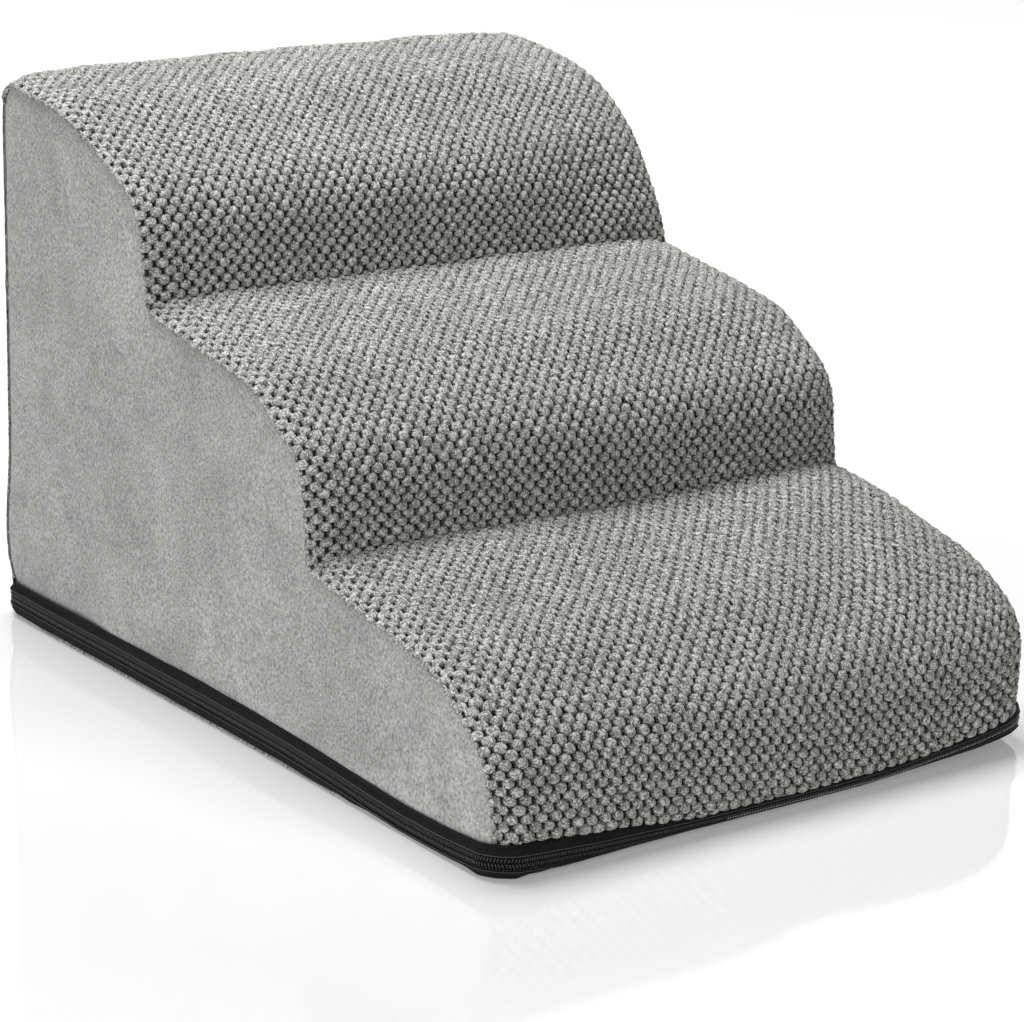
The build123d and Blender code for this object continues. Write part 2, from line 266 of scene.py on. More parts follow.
def base_path():
    """Lengths, points and outward directions round the base, from the middle of the back
    to the left, the front and the right, and the lengths where each corner starts and ends."""
    points, ways, marks = [(0.0, HALF_LENGTH)], [(0.0, 1.0)], []
    for (sx, sy), start in zip(CORNERS, (90, 180, 270, 360)):
        rx, ry = CORNERS[sx, sy]
        marks.append(len(points))
        for step in range(CORNER_STEPS + 1):
            t = math.radians(start + 90 * step / CORNER_STEPS)
            c, sn = math.cos(t), math.sin(t)
            points.append((sx * (HALF_WIDTH - rx) + rx * c, sy * (HALF_LENGTH - ry) + ry * sn))
            ways.append(np.array([c / rx, sn / ry]) / math.hypot(c / rx, sn / ry))
        marks.append(len(points) - 1)
    points.append((0.0, HALF_LENGTH))
    ways.append((0.0, 1.0))
    points, ways = np.array(points), np.array(ways)
    length = np.concatenate([[0], np.cumsum(np.linalg.norm(np.diff(points, axis=0), axis=1))])
    return length, points, ways, length[marks]


PATH_LENGTH, PATH_POINTS, PATH_WAYS, MARKS = base_path()
rear_left, left_start, left_end, front_start, front_end, right_start, right_end = MARKS[:-1]
front_left = (left_end + front_start) / 2
front_right = (front_end + right_start) / 2
ROUND = PATH_LENGTH[-1]
print("round the base in mm:", round(ROUND, 1), "corners at", MARKS.round(0))


def round_base(u, out, z):
    """Points at a length round the base, a distance out of it and a height."""
    place = np.stack([np.interp(u, PATH_LENGTH, PATH_POINTS[:, k]) for k in (0, 1)], -1)
    way = np.stack([np.interp(u, PATH_LENGTH, PATH_WAYS[:, k]) for k in (0, 1)], -1)
    way /= np.linalg.norm(way, axis=-1, keepdims=True)
    flat = place + way * np.asarray(out)[..., None]
    up = np.broadcast_to(np.asarray(z)[..., None], flat.shape[:-1] + (1,))
    return np.concatenate([flat, up], -1)


def left_at(y):
    """Length round the base at a y on the left side."""
    return left_start + (HALF_LENGTH - CORNERS[-1, 1][1]) - y


def front_at(x):
    """Length round the base at an x on the front."""
    return front_start + x + (HALF_WIDTH - CORNERS[-1, -1][0])


def right_at(y):
    """Length round the base at a y on the right side."""
    return right_start + y + (HALF_LENGTH - CORNERS[1, -1][1])


# %% [markdown]
# ### What changes round the base
# Cloth sewn round soft foam is never level. Each table gives one measure, in millimetres, at
# places round the base: how far the foot is off the floor, how far the cover flares out, how
# high the zip and the top of the band stand, and how far the band is pressed under. A soft
# average between the places keeps the seams free of kinks.

# %% Tables round the base
TABLE_POINTS = 1865
BLUR_POINTS = 25


def round_table(*pairs):
    """A smooth function round the base through (length, value) pairs."""
    lengths, values = np.array(sorted(pairs)).T
    dense = np.linspace(0, ROUND, TABLE_POINTS)
    level = np.interp(dense, lengths, values)
    kernel = np.hanning(BLUR_POINTS)
    kernel /= kernel.sum()
    spare = BLUR_POINTS // 2
    padded = np.concatenate([level[-spare:], level, level[:spare]])
    smooth = np.convolve(padded, kernel, "valid")
    return lambda at: np.interp(at, dense, smooth)


foot_lift = round_table(
    (0, 0.0), (front_at(40), 0.0), (front_at(70), 0.3), (front_at(90), 1.4), (front_at(127), 4.2),
    (front_at(150), 5.8), (front_at(165), 7.6), (front_end, 9.4),
    (front_right, 11.5), (right_start - 8, 7.5), (right_start, 3.6),
    (right_at(-249), 1.2), (right_at(-241), 0.0), (ROUND, 0.0),
)
flare = round_table(
    (0, 0.0), (rear_left - 20, 0.2), (rear_left, 0.8), (left_start, 1.6), (left_at(225), 1.8),
    (left_at(180), 1.2), (left_at(120), 0.2), (left_at(0), -0.6), (left_at(-200), -0.6),
    (left_end, -0.4), (front_start, -0.2), (front_at(-100), -0.4), (front_at(120), 0.0),
    (front_end, 0.4), (front_right, -0.6), (right_start, -0.6),
    (right_at(-249), 0.0), (ROUND, 0.0),
)
zip_level = round_table(
    (0, 12.5), (rear_left, 13.0), (left_start, 13.4), (left_at(200), 13.2), (left_at(150), 13.2),
    (left_at(-60), 12.6), (left_at(-120), 10.4), (left_at(-160), 8.2), (left_at(-190), 7.0),
    (left_at(-230), 7.6), (left_end, 9.4), (front_left, 10.6),
    (front_start, 9.2), (front_at(-165), 7.8), (front_at(-130), 5.8), (front_at(-90), 4.2),
    (front_at(-50), 3.3), (front_at(40), 2.9), (front_at(70), 3.1), (front_at(90), 3.9),
    (front_at(128), 7.3), (front_at(150), 9.4), (front_end, 13.4),
    (front_right, 16.4), (right_start - 5, 12.5), (ROUND, 12.5),
)
roll_under = round_table(
    (0, 0.0), (left_end, 0.0), (front_left, 0.2), (front_start, 1.0),
    (front_at(-150), 2.2), (front_at(-90), 3.0), (front_at(80), 3.0), (front_at(128), 2.2),
    (front_at(150), 1.6), (front_end, 1.4), (front_right, 1.4),
    (right_start, 0.3), (right_at(-249), 0.0), (ROUND, 0.0),
)
band_top = round_table(
    (0, 18.5), (rear_left - 2, 18.4), (rear_left + 6, 17.0), (left_at(258), 14.6),
    (left_at(225), 17.6), (left_at(190), 21.0),
    (left_at(60), 22.8), (left_at(-60), 21.8), (left_at(-120), 17.6), (left_at(-160), 14.6),
    (left_at(-190), 13.6), (left_at(-235), 14.6), (left_end, 17.0),
    (front_left, 18.8), (front_start, 18.6), (front_at(-100), 17.0),
    (front_at(0), 14.5), (front_at(110), 14.5), (front_at(135), 16.5), (front_at(168), 20.5),
    (front_end, 22.5), (front_right, 25.0), (right_start, 24.0),
    (right_at(-200), 22.5), (ROUND, 22.0),
)
print("foot lifted by up to", round(foot_lift(PATH_LENGTH).max(), 1), "mm")

# %% [markdown]
# ### Lifted corner
# Where the cover presses the band down, the strips turn in under the base. At the front right
# the whole underside is off the floor, most at the corner and less towards the middle, and the
# foam, the bottom cloth and its dots all rise with it.

# %% Band and underside on the lifted foot
TURN_IN = 0.9  # how far a pressed place moves in and up, for each millimetre pressed
TURN_UP = 0.6
COLUMN_GAP = 3.0  # between the columns of a strip
RIM_GAP = 6.0
LIFT_REACH = 60.0


def band_point(u, out, z):
    """A point of the band, turned under the base where the cover presses the band down."""
    level = foot_lift(u) + roll_under(u)
    under = np.clip(level - z, 0, None) * (roll_under(u) > 0.05)
    return round_base(u, out - TURN_IN * under, z + TURN_UP * under)


def even_round(start, end, gap):
    """Places round the base from start to end, closer together at the corners."""
    coarse = np.linspace(start, end, int((end - start) / gap) + 1)
    corners = PATH_LENGTH[(PATH_LENGTH > start) & (PATH_LENGTH < end)]
    return np.unique(np.round(np.concatenate([coarse, corners]), 3))


def base_outline(out):
    """Points (x, y) round the base, a distance out of its line."""
    return round_base(rim_places, np.full(len(rim_places), out), np.zeros(len(rim_places)))[:, :2]


rim_places = even_round(0.0, ROUND - 1.0, RIM_GAP)
rim_points = base_outline(0.0)


def raised_foot(flat):
    """How far the front right corner of the underside is off the floor at points (x, y)."""
    gap = np.linalg.norm(flat[:, None] - rim_points[None], axis=-1)
    nearest = gap.argmin(axis=1)
    return foot_lift(rim_places[nearest]) * np.exp(-gap.min(axis=1) / LIFT_REACH)


# %% [markdown]
# ### Cover as it settled
# A soft cover never sits quite as it was cut. One function moves every point of the wrap and the
# cover: it rounds the foot's corners, which fade out higher up, and shifts a few soft places.

# %% Cover as it settled
# (start, end) of the height over which each rounded corner becomes square again
FOOT_FADES = {(-1, 1): (18, 40), (-1, -1): (20, 75), (1, -1): (25, 110), (1, 1): (22, 80)}
# (centre, reach, move) of each place where the soft cover sits off its pattern, in millimetres
SETTLES = (
    ((205, 112, 303), (120, 42, 34), (0, 15.0, -7.0)),
    ((200, -130, 125), (90, 60, 30), (0, 0, 4.4)),
    ((200, -246, 92), (80, 26, 24), (0, -3.2, 3.6)),
    ((90, 230, 357), (160, 60, 30), (0, 0, 2.2)),
    ((-200, 140, 120), (40, 120, 120), (-0.8, 0, 0)),
    ((-200, 240, 60), (30, 130, 34), (-2.6, 1.5, 0)),
)


def ease(value, low, high):
    """0 below low, 1 above high, and a soft step between."""
    t = np.clip((value - low) / (high - low), 0, 1)
    return t * t * (3 - 2 * t)


def settle(points):
    """The cover's points moved to where they hang: rounded foot corners and soft dents."""
    moved = np.array(points, float)
    for (sx, sy), (rx, ry) in CORNERS.items():
        a = np.clip((sx * points[..., 0] - (HALF_WIDTH - rx)) / rx, 0, None)
        b = np.clip((sy * points[..., 1] - (HALF_LENGTH - ry)) / ry, 0, None)
        shrink = np.maximum(a, b) / np.maximum(np.hypot(a, b), 1e-6) - 1
        low, high = FOOT_FADES[sx, sy]
        shrink = np.where(np.minimum(a, b) > 0, shrink, 0) * (1 - ease(points[..., 2], low, high))
        moved[..., 0] += sx * rx * a * shrink
        moved[..., 1] += sy * ry * b * shrink
    for centre, reach, move in SETTLES:
        gap = ((points - np.array(centre)) / np.array(reach)) ** 2
        moved += np.exp(-gap.sum(-1))[..., None] * np.array(move)
    return moved


# %% [markdown]
# ## Materials
# The fleece is undyed-looking grey polyester. Its colour is painted a little lighter on the curls'
# tops and darker in the gaps between the curls and between the bubbles: painted light and shade.
# The side cloth is brushed polyester with a short nap that clouds where a hand has stroked it. The
# black parts are matt polyester, nylon, rubber and painted metal.
# A texture that several materials share is a node group, built once and then placed in each
# material with its own sizes and colours. Every group here gives a colour, a height for the bump
# and a roughness, so these helpers make its sockets and the nodes that keep coming back.

# %% Node helpers
def texture_group(name, inputs):
    """A shader node group with inputs from a dict of defaults, and its two end nodes."""
    group = bpy.data.node_groups.new(name, "ShaderNodeTree")
    for label, default in inputs.items():
        kind = "NodeSocketFloat" if isinstance(default, float) else "NodeSocketColor"
        socket = group.interface.new_socket(label, in_out="INPUT", socket_type=kind)
        socket.default_value = default
    group.interface.new_socket("Colour", in_out="OUTPUT", socket_type="NodeSocketColor")
    for label in ("Height", "Roughness"):
        group.interface.new_socket(label, in_out="OUTPUT", socket_type="NodeSocketFloat")
    return group, group.nodes.new("NodeGroupInput"), group.nodes.new("NodeGroupOutput")


def add_node(tree, kind, settings=None, **inputs):
    """A node with its settings made and its inputs set or linked.

    _ stands for a space in an input's name, and i0, i1 and so on are inputs by number.
    """
    node = tree.nodes.new(kind)
    for label, value in (settings or {}).items():
        setattr(node, label, value)
    for label, value in inputs.items():
        numbered = label[0] == "i" and label[1:].isdigit()
        socket = node.inputs[int(label[1:]) if numbered else label.replace("_", " ")]
        if isinstance(value, bpy.types.NodeSocket):
            tree.links.new(value, socket)
        else:
            socket.default_value = value
    return node


def mix_colours(tree, factor, first, second):
    """Two colours mixed by a factor. A colour mix node has them in its inputs 6 and 7."""
    settings = {"data_type": "RGBA", "blend_type": "MIX"}
    return add_node(tree, "ShaderNodeMix", settings, Factor=factor, i6=first, i7=second).outputs[2]


def maths(tree, how, first, second=0.0, third=0.0):
    """Output of a math node."""
    settings = {"operation": how}
    return add_node(tree, "ShaderNodeMath", settings, i0=first, i1=second, i2=third).outputs[0]


def spread(tree, value, low, high, to_low=0.0, to_high=1.0):
    """A value's range moved from low..high to to_low..to_high, and clamped."""
    return add_node(
        tree, "ShaderNodeMapRange",
        Value=value, From_Min=low, From_Max=high, To_Min=to_low, To_Max=to_high,
    ).outputs[0]


def centred(tree, value, gain):
    """How far a value is from a half, times a gain."""
    return maths(tree, "MULTIPLY", maths(tree, "SUBTRACT", value, 0.5), gain)


def noise(tree, place, scale, detail, roughness, distortion=0.0):
    """A noise value from 0 to 1, scale waves to the metre."""
    return add_node(
        tree, "ShaderNodeTexNoise", Vector=place, Scale=scale, Detail=detail, Roughness=roughness,
        Distortion=distortion,
    ).outputs["Fac"]


def shaded(tree, colour, level):
    """A colour made lighter or darker by a level."""
    settings = {"operation": "SCALE"}
    return add_node(tree, "ShaderNodeVectorMath", settings, i0=colour, Scale=level).outputs[0]


def put_out(group, end, **results):
    """The group's results linked to its end."""
    for label, value in results.items():
        group.links.new(value, end.inputs[label])


def grey(level, warm=0.0):
    """A neutral colour from a level between 0 and 1, a touch warm or cool."""
    return (level * (1 + warm), level, level * (1 - warm), 1.0)


# %% [markdown]
# ### Curly pile
# Long yarn that has curled. A wavy noise makes the curls, and the gaps between them are painted
# dark as painted shade, more so low on a bubble. The mesh says how high each point stands in its
# bubble, so the roots between bubbles get painted shade too.

# %% Curly pile
def curly_pile_group():
    """Curly yarn: curls, with painted shade in the gaps between them and at the roots where the
    pile stands low.
    """
    # Gaps and Roots set how dark the painted shade is in the curls' gaps and at the roots
    group, start, end = texture_group("Curly pile", {
        "Colour": grey(0.5), "Curl size": 0.003, "Gaps": 0.6, "Stand": 1.0, "Roots": 0.5,
    })
    place = add_node(group, "ShaderNodeNewGeometry").outputs["Position"]
    stand = start.outputs["Stand"]
    scale = maths(group, "DIVIDE", 1.0, start.outputs["Curl size"])
    field = noise(group, place, scale, 1.0, 0.5, 0.7)
    curls = maths(group, "SINE", maths(group, "MULTIPLY", field, 22.0))
    curls = spread(group, curls, -1.0, 0.35)
    fine = spread(group, noise(group, place, 2400.0, 1.0, 0.5), 0.35, 0.65)
    height = maths(group, "MULTIPLY_ADD", curls, 0.8, maths(group, "MULTIPLY", fine, 0.2))
    cloud = spread(group, noise(group, place, 16.0, 3.0, 0.6), 0.3, 0.7, 0.93, 1.07)
    # painted shade: the gaps between the curls are darker low on a bubble
    deep = spread(group, stand, 0.3, 1.0, 1.0, 0.55)
    dark = maths(group, "MULTIPLY", spread(group, height, 0.12, 0.8, 1.0, 0.0), deep)
    shade = maths(group, "SUBTRACT", 1.12, maths(group, "MULTIPLY", dark, start.outputs["Gaps"]))
    shade = maths(group, "MAXIMUM", shade, 0.03)  # gaps are never quite black
    # painted shade at the roots, where the pile stands low between bubbles
    root = maths(group, "SUBTRACT", 1.0, start.outputs["Roots"])
    root_shade = spread(group, stand, 0.1, 0.84, root, 1.0)
    level = maths(group, "MULTIPLY", maths(group, "MULTIPLY", shade, cloud), root_shade)
    put_out(group, end, Colour=shaded(group, start.outputs["Colour"], level), Height=height,
            Roughness=spread(group, height, 0.0, 1.0, 1.0, 0.85))
    return group


# %% [markdown]
# ### Brushed nap
# Short fibres that lie this way and that. Broad and small clouds change the brightness softly,
# and a fine noise gives the grain of the fibres.

# %% Brushed nap
def brushed_nap_group():
    """Short brushed nap: clouds from stroking, and a fine grain."""
    group, start, end = texture_group("Brushed nap", {
        "Colour": grey(0.5), "Clouds": 0.06, "Grain": 0.12,
    })
    place = add_node(group, "ShaderNodeNewGeometry").outputs["Position"]
    broad = noise(group, place, 13.0, 4.0, 0.62, 0.6)
    patches = noise(group, place, 55.0, 3.0, 0.6)
    fibres = noise(group, place, 540.0, 2.0, 0.7)
    cloud = maths(group, "ADD", centred(group, broad, 2.6), centred(group, patches, 1.3))
    cloud = maths(group, "MULTIPLY_ADD", cloud, start.outputs["Clouds"], 1.0)
    grain = centred(group, fibres, 3.0)
    grain = maths(group, "MULTIPLY_ADD", grain, start.outputs["Grain"], 1.0)
    level = maths(group, "MULTIPLY", cloud, grain)
    put_out(group, end, Colour=shaded(group, start.outputs["Colour"], level), Height=fibres,
            Roughness=spread(group, broad, 0.3, 0.7, 0.8, 0.95))
    return group


# %% [markdown]
# ### Plain weave
# The strips, the tapes, the bottom cloth and the fleece's backing are woven. Two waves, one along
# the piece and one up it, stand for threads that go over and under each other. The colour is
# painted darker where a thread dips under, as painted shade. A little pale lint keeps black cloth
# from looking like plastic.

# %% Plain weave
def weave_group():
    """Plain weave: threads over and under, painted darker where they dip under as painted shade,
    with lint and a little fading.
    """
    group, start, end = texture_group("Plain weave", {
        "Colour": grey(0.03), "Thread": 0.0006, "Lint": 0.1,
    })
    place = add_node(group, "ShaderNodeNewGeometry").outputs["Position"]
    parts = add_node(group, "ShaderNodeSeparateXYZ", Vector=place).outputs
    turn = maths(group, "DIVIDE", math.pi, start.outputs["Thread"])
    run = maths(group, "ADD", parts["X"], parts["Y"])
    across = maths(group, "SINE", maths(group, "MULTIPLY", run, turn))
    along = maths(group, "SINE", maths(group, "MULTIPLY", parts["Z"], turn))
    height = spread(group, maths(group, "MULTIPLY", across, along), -1.0, 1.0)
    lint = noise(group, place, 700.0, 3.0, 0.7)
    fade = noise(group, place, 40.0, 2.0, 0.5)
    # painted shade where a thread dips under the next, and a little random fading
    level = maths(group, "MULTIPLY", spread(group, height, 0.0, 1.0, 0.75, 1.15),
                  spread(group, fade, 0.3, 0.7, 0.88, 1.12))
    speck = maths(group, "MULTIPLY", spread(group, lint, 0.68, 0.8), start.outputs["Lint"])
    colour = mix_colours(group, speck, shaded(group, start.outputs["Colour"], level), grey(0.35))
    put_out(group, end, Colour=colour, Height=height,
            Roughness=spread(group, lint, 0.3, 0.7, 0.75, 0.95))
    return group


# %% [markdown]
# ### Open cells
# Foam is a pale skin full of small pores. A cell pattern's distance to its edges gives thin
# walls with hollows between them, and the hollows are painted darker as painted shade.

# %% Open cells
def foam_group():
    """Open-cell foam: pores in a pale skin, with painted shade in the hollows."""
    group, start, end = texture_group("Open cells", {"Colour": grey(0.8), "Cell": 0.0012})
    place = add_node(group, "ShaderNodeNewGeometry").outputs["Position"]
    scale = maths(group, "DIVIDE", 1.0, start.outputs["Cell"])
    cells = add_node(
        group, "ShaderNodeTexVoronoi", {"feature": "DISTANCE_TO_EDGE"}, Vector=place, Scale=scale
    ).outputs["Distance"]
    walls = spread(group, cells, 0.02, 0.25, 1.0, 0.0)
    tint = noise(group, place, 9.0, 2.0, 0.5)
    # painted shade: the hollows between the walls are darker
    level = maths(group, "MULTIPLY", spread(group, walls, 0.0, 1.0, 0.72, 1.05),
                  spread(group, tint, 0.3, 0.7, 0.95, 1.05))
    put_out(group, end, Colour=shaded(group, start.outputs["Colour"], level), Height=walls,
            Roughness=spread(group, walls, 0.0, 1.0, 0.95, 0.8))
    return group


# %% [markdown]
# ### Moulded black
# Nylon, rubber, thread and painted zinc are smooth next to the cloth. What gives them away is a
# faint mottling, and edges that have been rubbed pale, which the mesh's pointiness finds.

# %% Moulded black
def moulded_group():
    """Moulded nylon or painted metal: faint mottling and rubbed high spots."""
    group, start, end = texture_group("Moulded black", {
        "Colour": grey(0.03), "Wear": 0.2, "Gloss": 0.45,
    })
    geometry = add_node(group, "ShaderNodeNewGeometry").outputs
    grain = noise(group, geometry["Position"], 1800.0, 2.0, 0.6)
    edges = spread(group, geometry["Pointiness"], 0.52, 0.62)
    rubbed = maths(group, "MULTIPLY", edges, start.outputs["Wear"])
    rough = maths(group, "ADD", centred(group, grain, 0.3), start.outputs["Gloss"])
    put_out(group, end, Colour=mix_colours(group, rubbed, start.outputs["Colour"], grey(0.3)),
            Height=grain, Roughness=rough)
    return group


# %% [markdown]
# ### Finishes
# Each finish of the stairs is one material: a Principled shader whose colour, roughness and bump
# come from a group placed with this finish's own values. The bump's distance is in metres.

# %% Finishes
def surface(name, group, bump, distance, specular, sheen=0.0, **settings):
    """A material whose colour, roughness and bump come from a group."""
    material = bpy.data.materials.new(name)
    material.use_nodes = True
    tree = material.node_tree
    shader = tree.nodes["Principled BSDF"]
    effect = tree.nodes.new("ShaderNodeGroup")
    effect.node_tree = group
    for label, value in settings.items():
        effect.inputs[label.replace("_", " ")].default_value = value
    tree.links.new(effect.outputs["Colour"], shader.inputs["Base Color"])
    tree.links.new(effect.outputs["Roughness"], shader.inputs["Roughness"])
    relief = add_node(
        tree, "ShaderNodeBump", Strength=bump, Distance=distance, Height=effect.outputs["Height"]
    )
    tree.links.new(relief.outputs["Normal"], shader.inputs["Normal"])
    shader.inputs["Specular IOR Level"].default_value = specular
    shader.inputs["Sheen Weight"].default_value = sheen
    shader.inputs["Sheen Roughness"].default_value = 0.5
    return material


pile = curly_pile_group()
nap = brushed_nap_group()
weave = weave_group()
foam = foam_group()
moulded = moulded_group()

# the fleece's Gaps and Roots set its painted shade in the curls' gaps and at the bubbles' roots
fleece_look = surface("Bubble fleece", pile, 1.0, 0.0013, sheen=0.12, specular=0.1,
                      Colour=(0.74, 0.738, 0.694, 1), Curl_size=0.0024, Gaps=1.25, Roots=0.93)
fleece_tree = fleece_look.node_tree
stored = add_node(fleece_tree, "ShaderNodeAttribute", {"attribute_name": "pile"}).outputs["Fac"]
fleece_tree.links.new(stored, fleece_tree.nodes["Group"].inputs["Stand"])
# the backing is painted dark, painted shade for the slots between the bubbles
backing_look = surface("Fleece backing", weave, 0.5, 0.0002, specular=0.1,
                       Colour=grey(0.16, 0.01), Thread=0.0008, Lint=0.3)
nap_look = surface("Short nap", nap, 0.5, 0.0004, sheen=0.25, specular=0.1,
                   Colour=(0.384, 0.386, 0.377, 1), Clouds=0.3, Grain=0.75)
strip_look = surface("Black strip", weave, 0.4, 0.0002, specular=0.12,
                     Colour=grey(0.0085), Thread=0.0006, Lint=0.05)
# paler than the strips: a painted highlight on the folded edges, and the overlock thread's colour
edge_highlight_and_overlock_look = surface("Painted edge highlight and overlock", weave, 0.4, 0.0002, sheen=0.1, specular=0.4,
                    Colour=grey(0.055), Thread=0.0004, Lint=0.05)
tape_look = surface("Zip tape", weave, 0.6, 0.0003, specular=0.15,
                    Colour=grey(0.007), Thread=0.0009, Lint=0.03)
bottom_look = surface("Bottom cloth", weave, 0.4, 0.0002, specular=0.2,
                      Colour=grey(0.016), Thread=0.0008, Lint=0.15)
coil_look = surface("Zip nylon", moulded, 0.2, 0.0001, specular=0.4,
                    Colour=grey(0.010), Wear=0.15, Gloss=0.34)
thread_look = surface("Sewing thread", moulded, 0.3, 0.0001, specular=0.8,
                      Colour=grey(0.03), Wear=0.1, Gloss=0.3)
# pale bars at the front stand for the glints on the coil's turns: painted highlights
coil_highlight_look = surface("Painted coil highlights", moulded, 0.5, 0.0001, specular=0.5,
                           Colour=grey(0.38), Wear=0.1, Gloss=0.5)
metal_look = surface("Black metal", moulded, 0.15, 0.0001, specular=0.5,
                     Colour=grey(0.018), Wear=0.5, Gloss=0.35)
rubber_look = surface("Grip rubber", moulded, 0.3, 0.0002, specular=0.3,
                      Colour=grey(0.02), Wear=0.0, Gloss=0.6)
firm_foam_look = surface("Firm foam", foam, 0.6, 0.0006, specular=0.1,
                         Colour=(0.72, 0.68, 0.55, 1), Cell=0.0012)
soft_foam_look = surface("Soft foam", foam, 0.6, 0.0006, specular=0.1,
                         Colour=(0.82, 0.81, 0.76, 1), Cell=0.0016)
print("materials:", len(bpy.data.materials))

# %% [markdown]
# ## Foam
# Three slabs of firm foam are glued flat one on another, and a softer sheet is wrapped over the
# steps so that the noses feel round. The cover hides all of it, but its swell comes from the
# foam: the wrap stands highest in the middle of the stairs and falls away to the side seams.

# %% Foam slabs
WRAP = 22.0
SIDE_CLOTH = 2.0
BOTTOM_TOP = 2.1
CORE_HALF = HALF_WIDTH - SIDE_CLOTH
UNDER_POINTS = 40
SLAB_COLUMNS = 41
FLOOR_REACH = 40.0  # height over which the lift of the foot dies out in the foam


def core_section(low, high):
    """Outline (y, z) of one foam slab between two heights, with points along its underside."""
    line = stair_line(-WRAP)[0]
    back, top = line[-1][0], min(high, line[:, 1].max())
    slope = line[(line[:, 1] > low) & (line[:, 1] < high) & (line[:, 0] < back - 0.5)][::6]
    first, last = slope[0][0], slope[-1][0]
    under = [(y, low) for y in np.linspace(back, first, UNDER_POINTS + 2)[1:-1]]
    return np.array([(first, low), *slope, (last, top), (back, top), (back, low), *under])


def prism(section, half, columns):
    """Closed prism of a section across the steps, as points and faces."""
    xs = np.linspace(-half, half, columns)
    count = len(section)
    points = np.concatenate([np.column_stack([np.full(count, x), section]) for x in xs])
    faces = [list(face) for face in grid_faces(columns, count, closed=True)]
    faces.append(list(range(count))[::-1])
    faces.append(list(range((columns - 1) * count, columns * count)))
    return points, faces


levels = [BOTTOM_TOP, RISES[0] - WRAP, RISES[0] + RISES[1] - WRAP, HEIGHT]
slabs = ("foam_base_slab", "foam_middle_slab", "foam_top_slab")
for node, low, high in zip(slabs, levels, levels[1:]):
    points, faces = prism(core_section(low, high), CORE_HALF, SLAB_COLUMNS)
    near_floor = np.clip(1 - (points[:, 2] - BOTTOM_TOP) / FLOOR_REACH, 0, 1)
    points[:, 2] += raised_foot(points[:, :2]) * near_floor
    slab = add_mesh(node + "_foam", points, faces, firm_foam_look, smooth=False)
    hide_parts(node)
    print(node, "from", low, "to", high, "mm")

# %% Soft wrap
CROWN = 5.0
# (share of the way from the middle to the side, share of the crown that is left there)
CROWN_SHARES = ((0.0, 1.0), (0.45, 0.97), (0.76, 0.9), (0.93, 0.6), (1.0, 0.0))
WRAP_POINTS = 260
WRAP_COLUMNS = 61
UNDER_CLOTH = 0.3
OVER_SLABS = 0.6


def crown_at(x):
    """How far the wrap swells at a place across the steps."""
    share = np.interp(np.abs(x) / CORE_HALF, *np.array(CROWN_SHARES).T)
    return CROWN * share


def wrap_side(along, out):
    """Points (y, z) of one face of the wrap, cut off level above the band."""
    face = on_line(along, np.full(len(along), out))
    face[:, 1] = np.maximum(face[:, 1], BAND_HEIGHT)
    return face


wrap_along = np.linspace(0, TOTAL, WRAP_POINTS)
wrap_grid = []
for x in np.linspace(-CORE_HALF, CORE_HALF, WRAP_COLUMNS):
    outer = wrap_side(wrap_along, crown_at(x) - UNDER_CLOTH)
    inner = wrap_side(wrap_along[::-1], -WRAP + OVER_SLABS)
    ring = np.concatenate([outer, inner])
    wrap_grid.append(np.column_stack([np.full(len(ring), x), ring]))
count = len(wrap_grid[0])
rung = np.arange(count // 2 - 1)
cap = np.stack([rung, rung + 1, count - 2 - rung, count - 1 - rung], -1)
far_cap = cap + (WRAP_COLUMNS - 1) * count
faces = grid_faces(WRAP_COLUMNS, count, closed=True)
faces = np.concatenate([faces, cap[:, ::-1], far_cap])
points = settle(np.concatenate(wrap_grid))
wrap = add_mesh("soft_wrap_foam", points, faces, soft_foam_look)
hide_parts("soft_wrap")
print("wrap:", len(points), "points")

# %% [markdown]
# ## Bubble fleece
# The pile is woven long and then shrunk in a pattern, so it stands in round bubbles with dark
# slots between them. The bubbles sit on a backing cloth that follows the foam and rolls over at
# the side seams and at the hem, so that the last bubbles look outwards. One function gives the
# backing's place for a length across the cloth and a length along it, and both the bubbles and
# the cloth behind them ask it.

# %% Backing of the fleece
BACKING = 1.8
ROLL_START = 196.6  # how far from the middle of the cloth its roll at the seam starts
ROLL_RADIUS = 3.2
ROLL_LENGTH = ROLL_RADIUS * math.radians(112)
HALF_CLOTH = ROLL_START + ROLL_LENGTH
# length along the steps at which the hem hangs, at places across the front
HEM_X = (-200, -194, -188, -163, -140, -104, -60, 14, 76, 110, 124, 150, 161, 178, 200)
HEM_Z = (19.0, 21.0, 23.5, 22.5, 20.4, 17.5, 13.3, 12.6, 13.4, 15.0, 16.4, 19.4, 20.5, 22.8, 25.3)
BACK_START = TRAVEL[sum(COUNTS[:-1])] - 14  # where the outline turns down the back
BACK_HEM = TOTAL - 18.0
HEM_TUCK = 4.0  # how much of the cloth turns in past the hem
SEAM_DEPTH = 0.3

lumps = waves(5, (45, 160))


def seam_level(along):
    """How far out of the seam line the side panels' edge is sewn."""
    return 0.8 + 2.2 * ease(along, BACK_START - 20, BACK_START + 30)


def across_point(across, base, edge=0.0):
    """x and the backing's distance out, where across is a length over the cloth."""
    side = np.sign(across)
    over = np.clip(np.abs(across) - ROLL_START, 0, ROLL_LENGTH)
    turn = over / ROLL_RADIUS
    x = side * (np.minimum(np.abs(across), ROLL_START) + ROLL_RADIUS * np.sin(turn))
    return x, edge + (base - edge) * np.cos(turn)


def hem_length(x, along):
    """How far a place is past the hem, positive below it, at the front or the back."""
    front = np.interp(x, HEM_X, HEM_Z) - along
    return np.maximum(front, along - BACK_HEM)


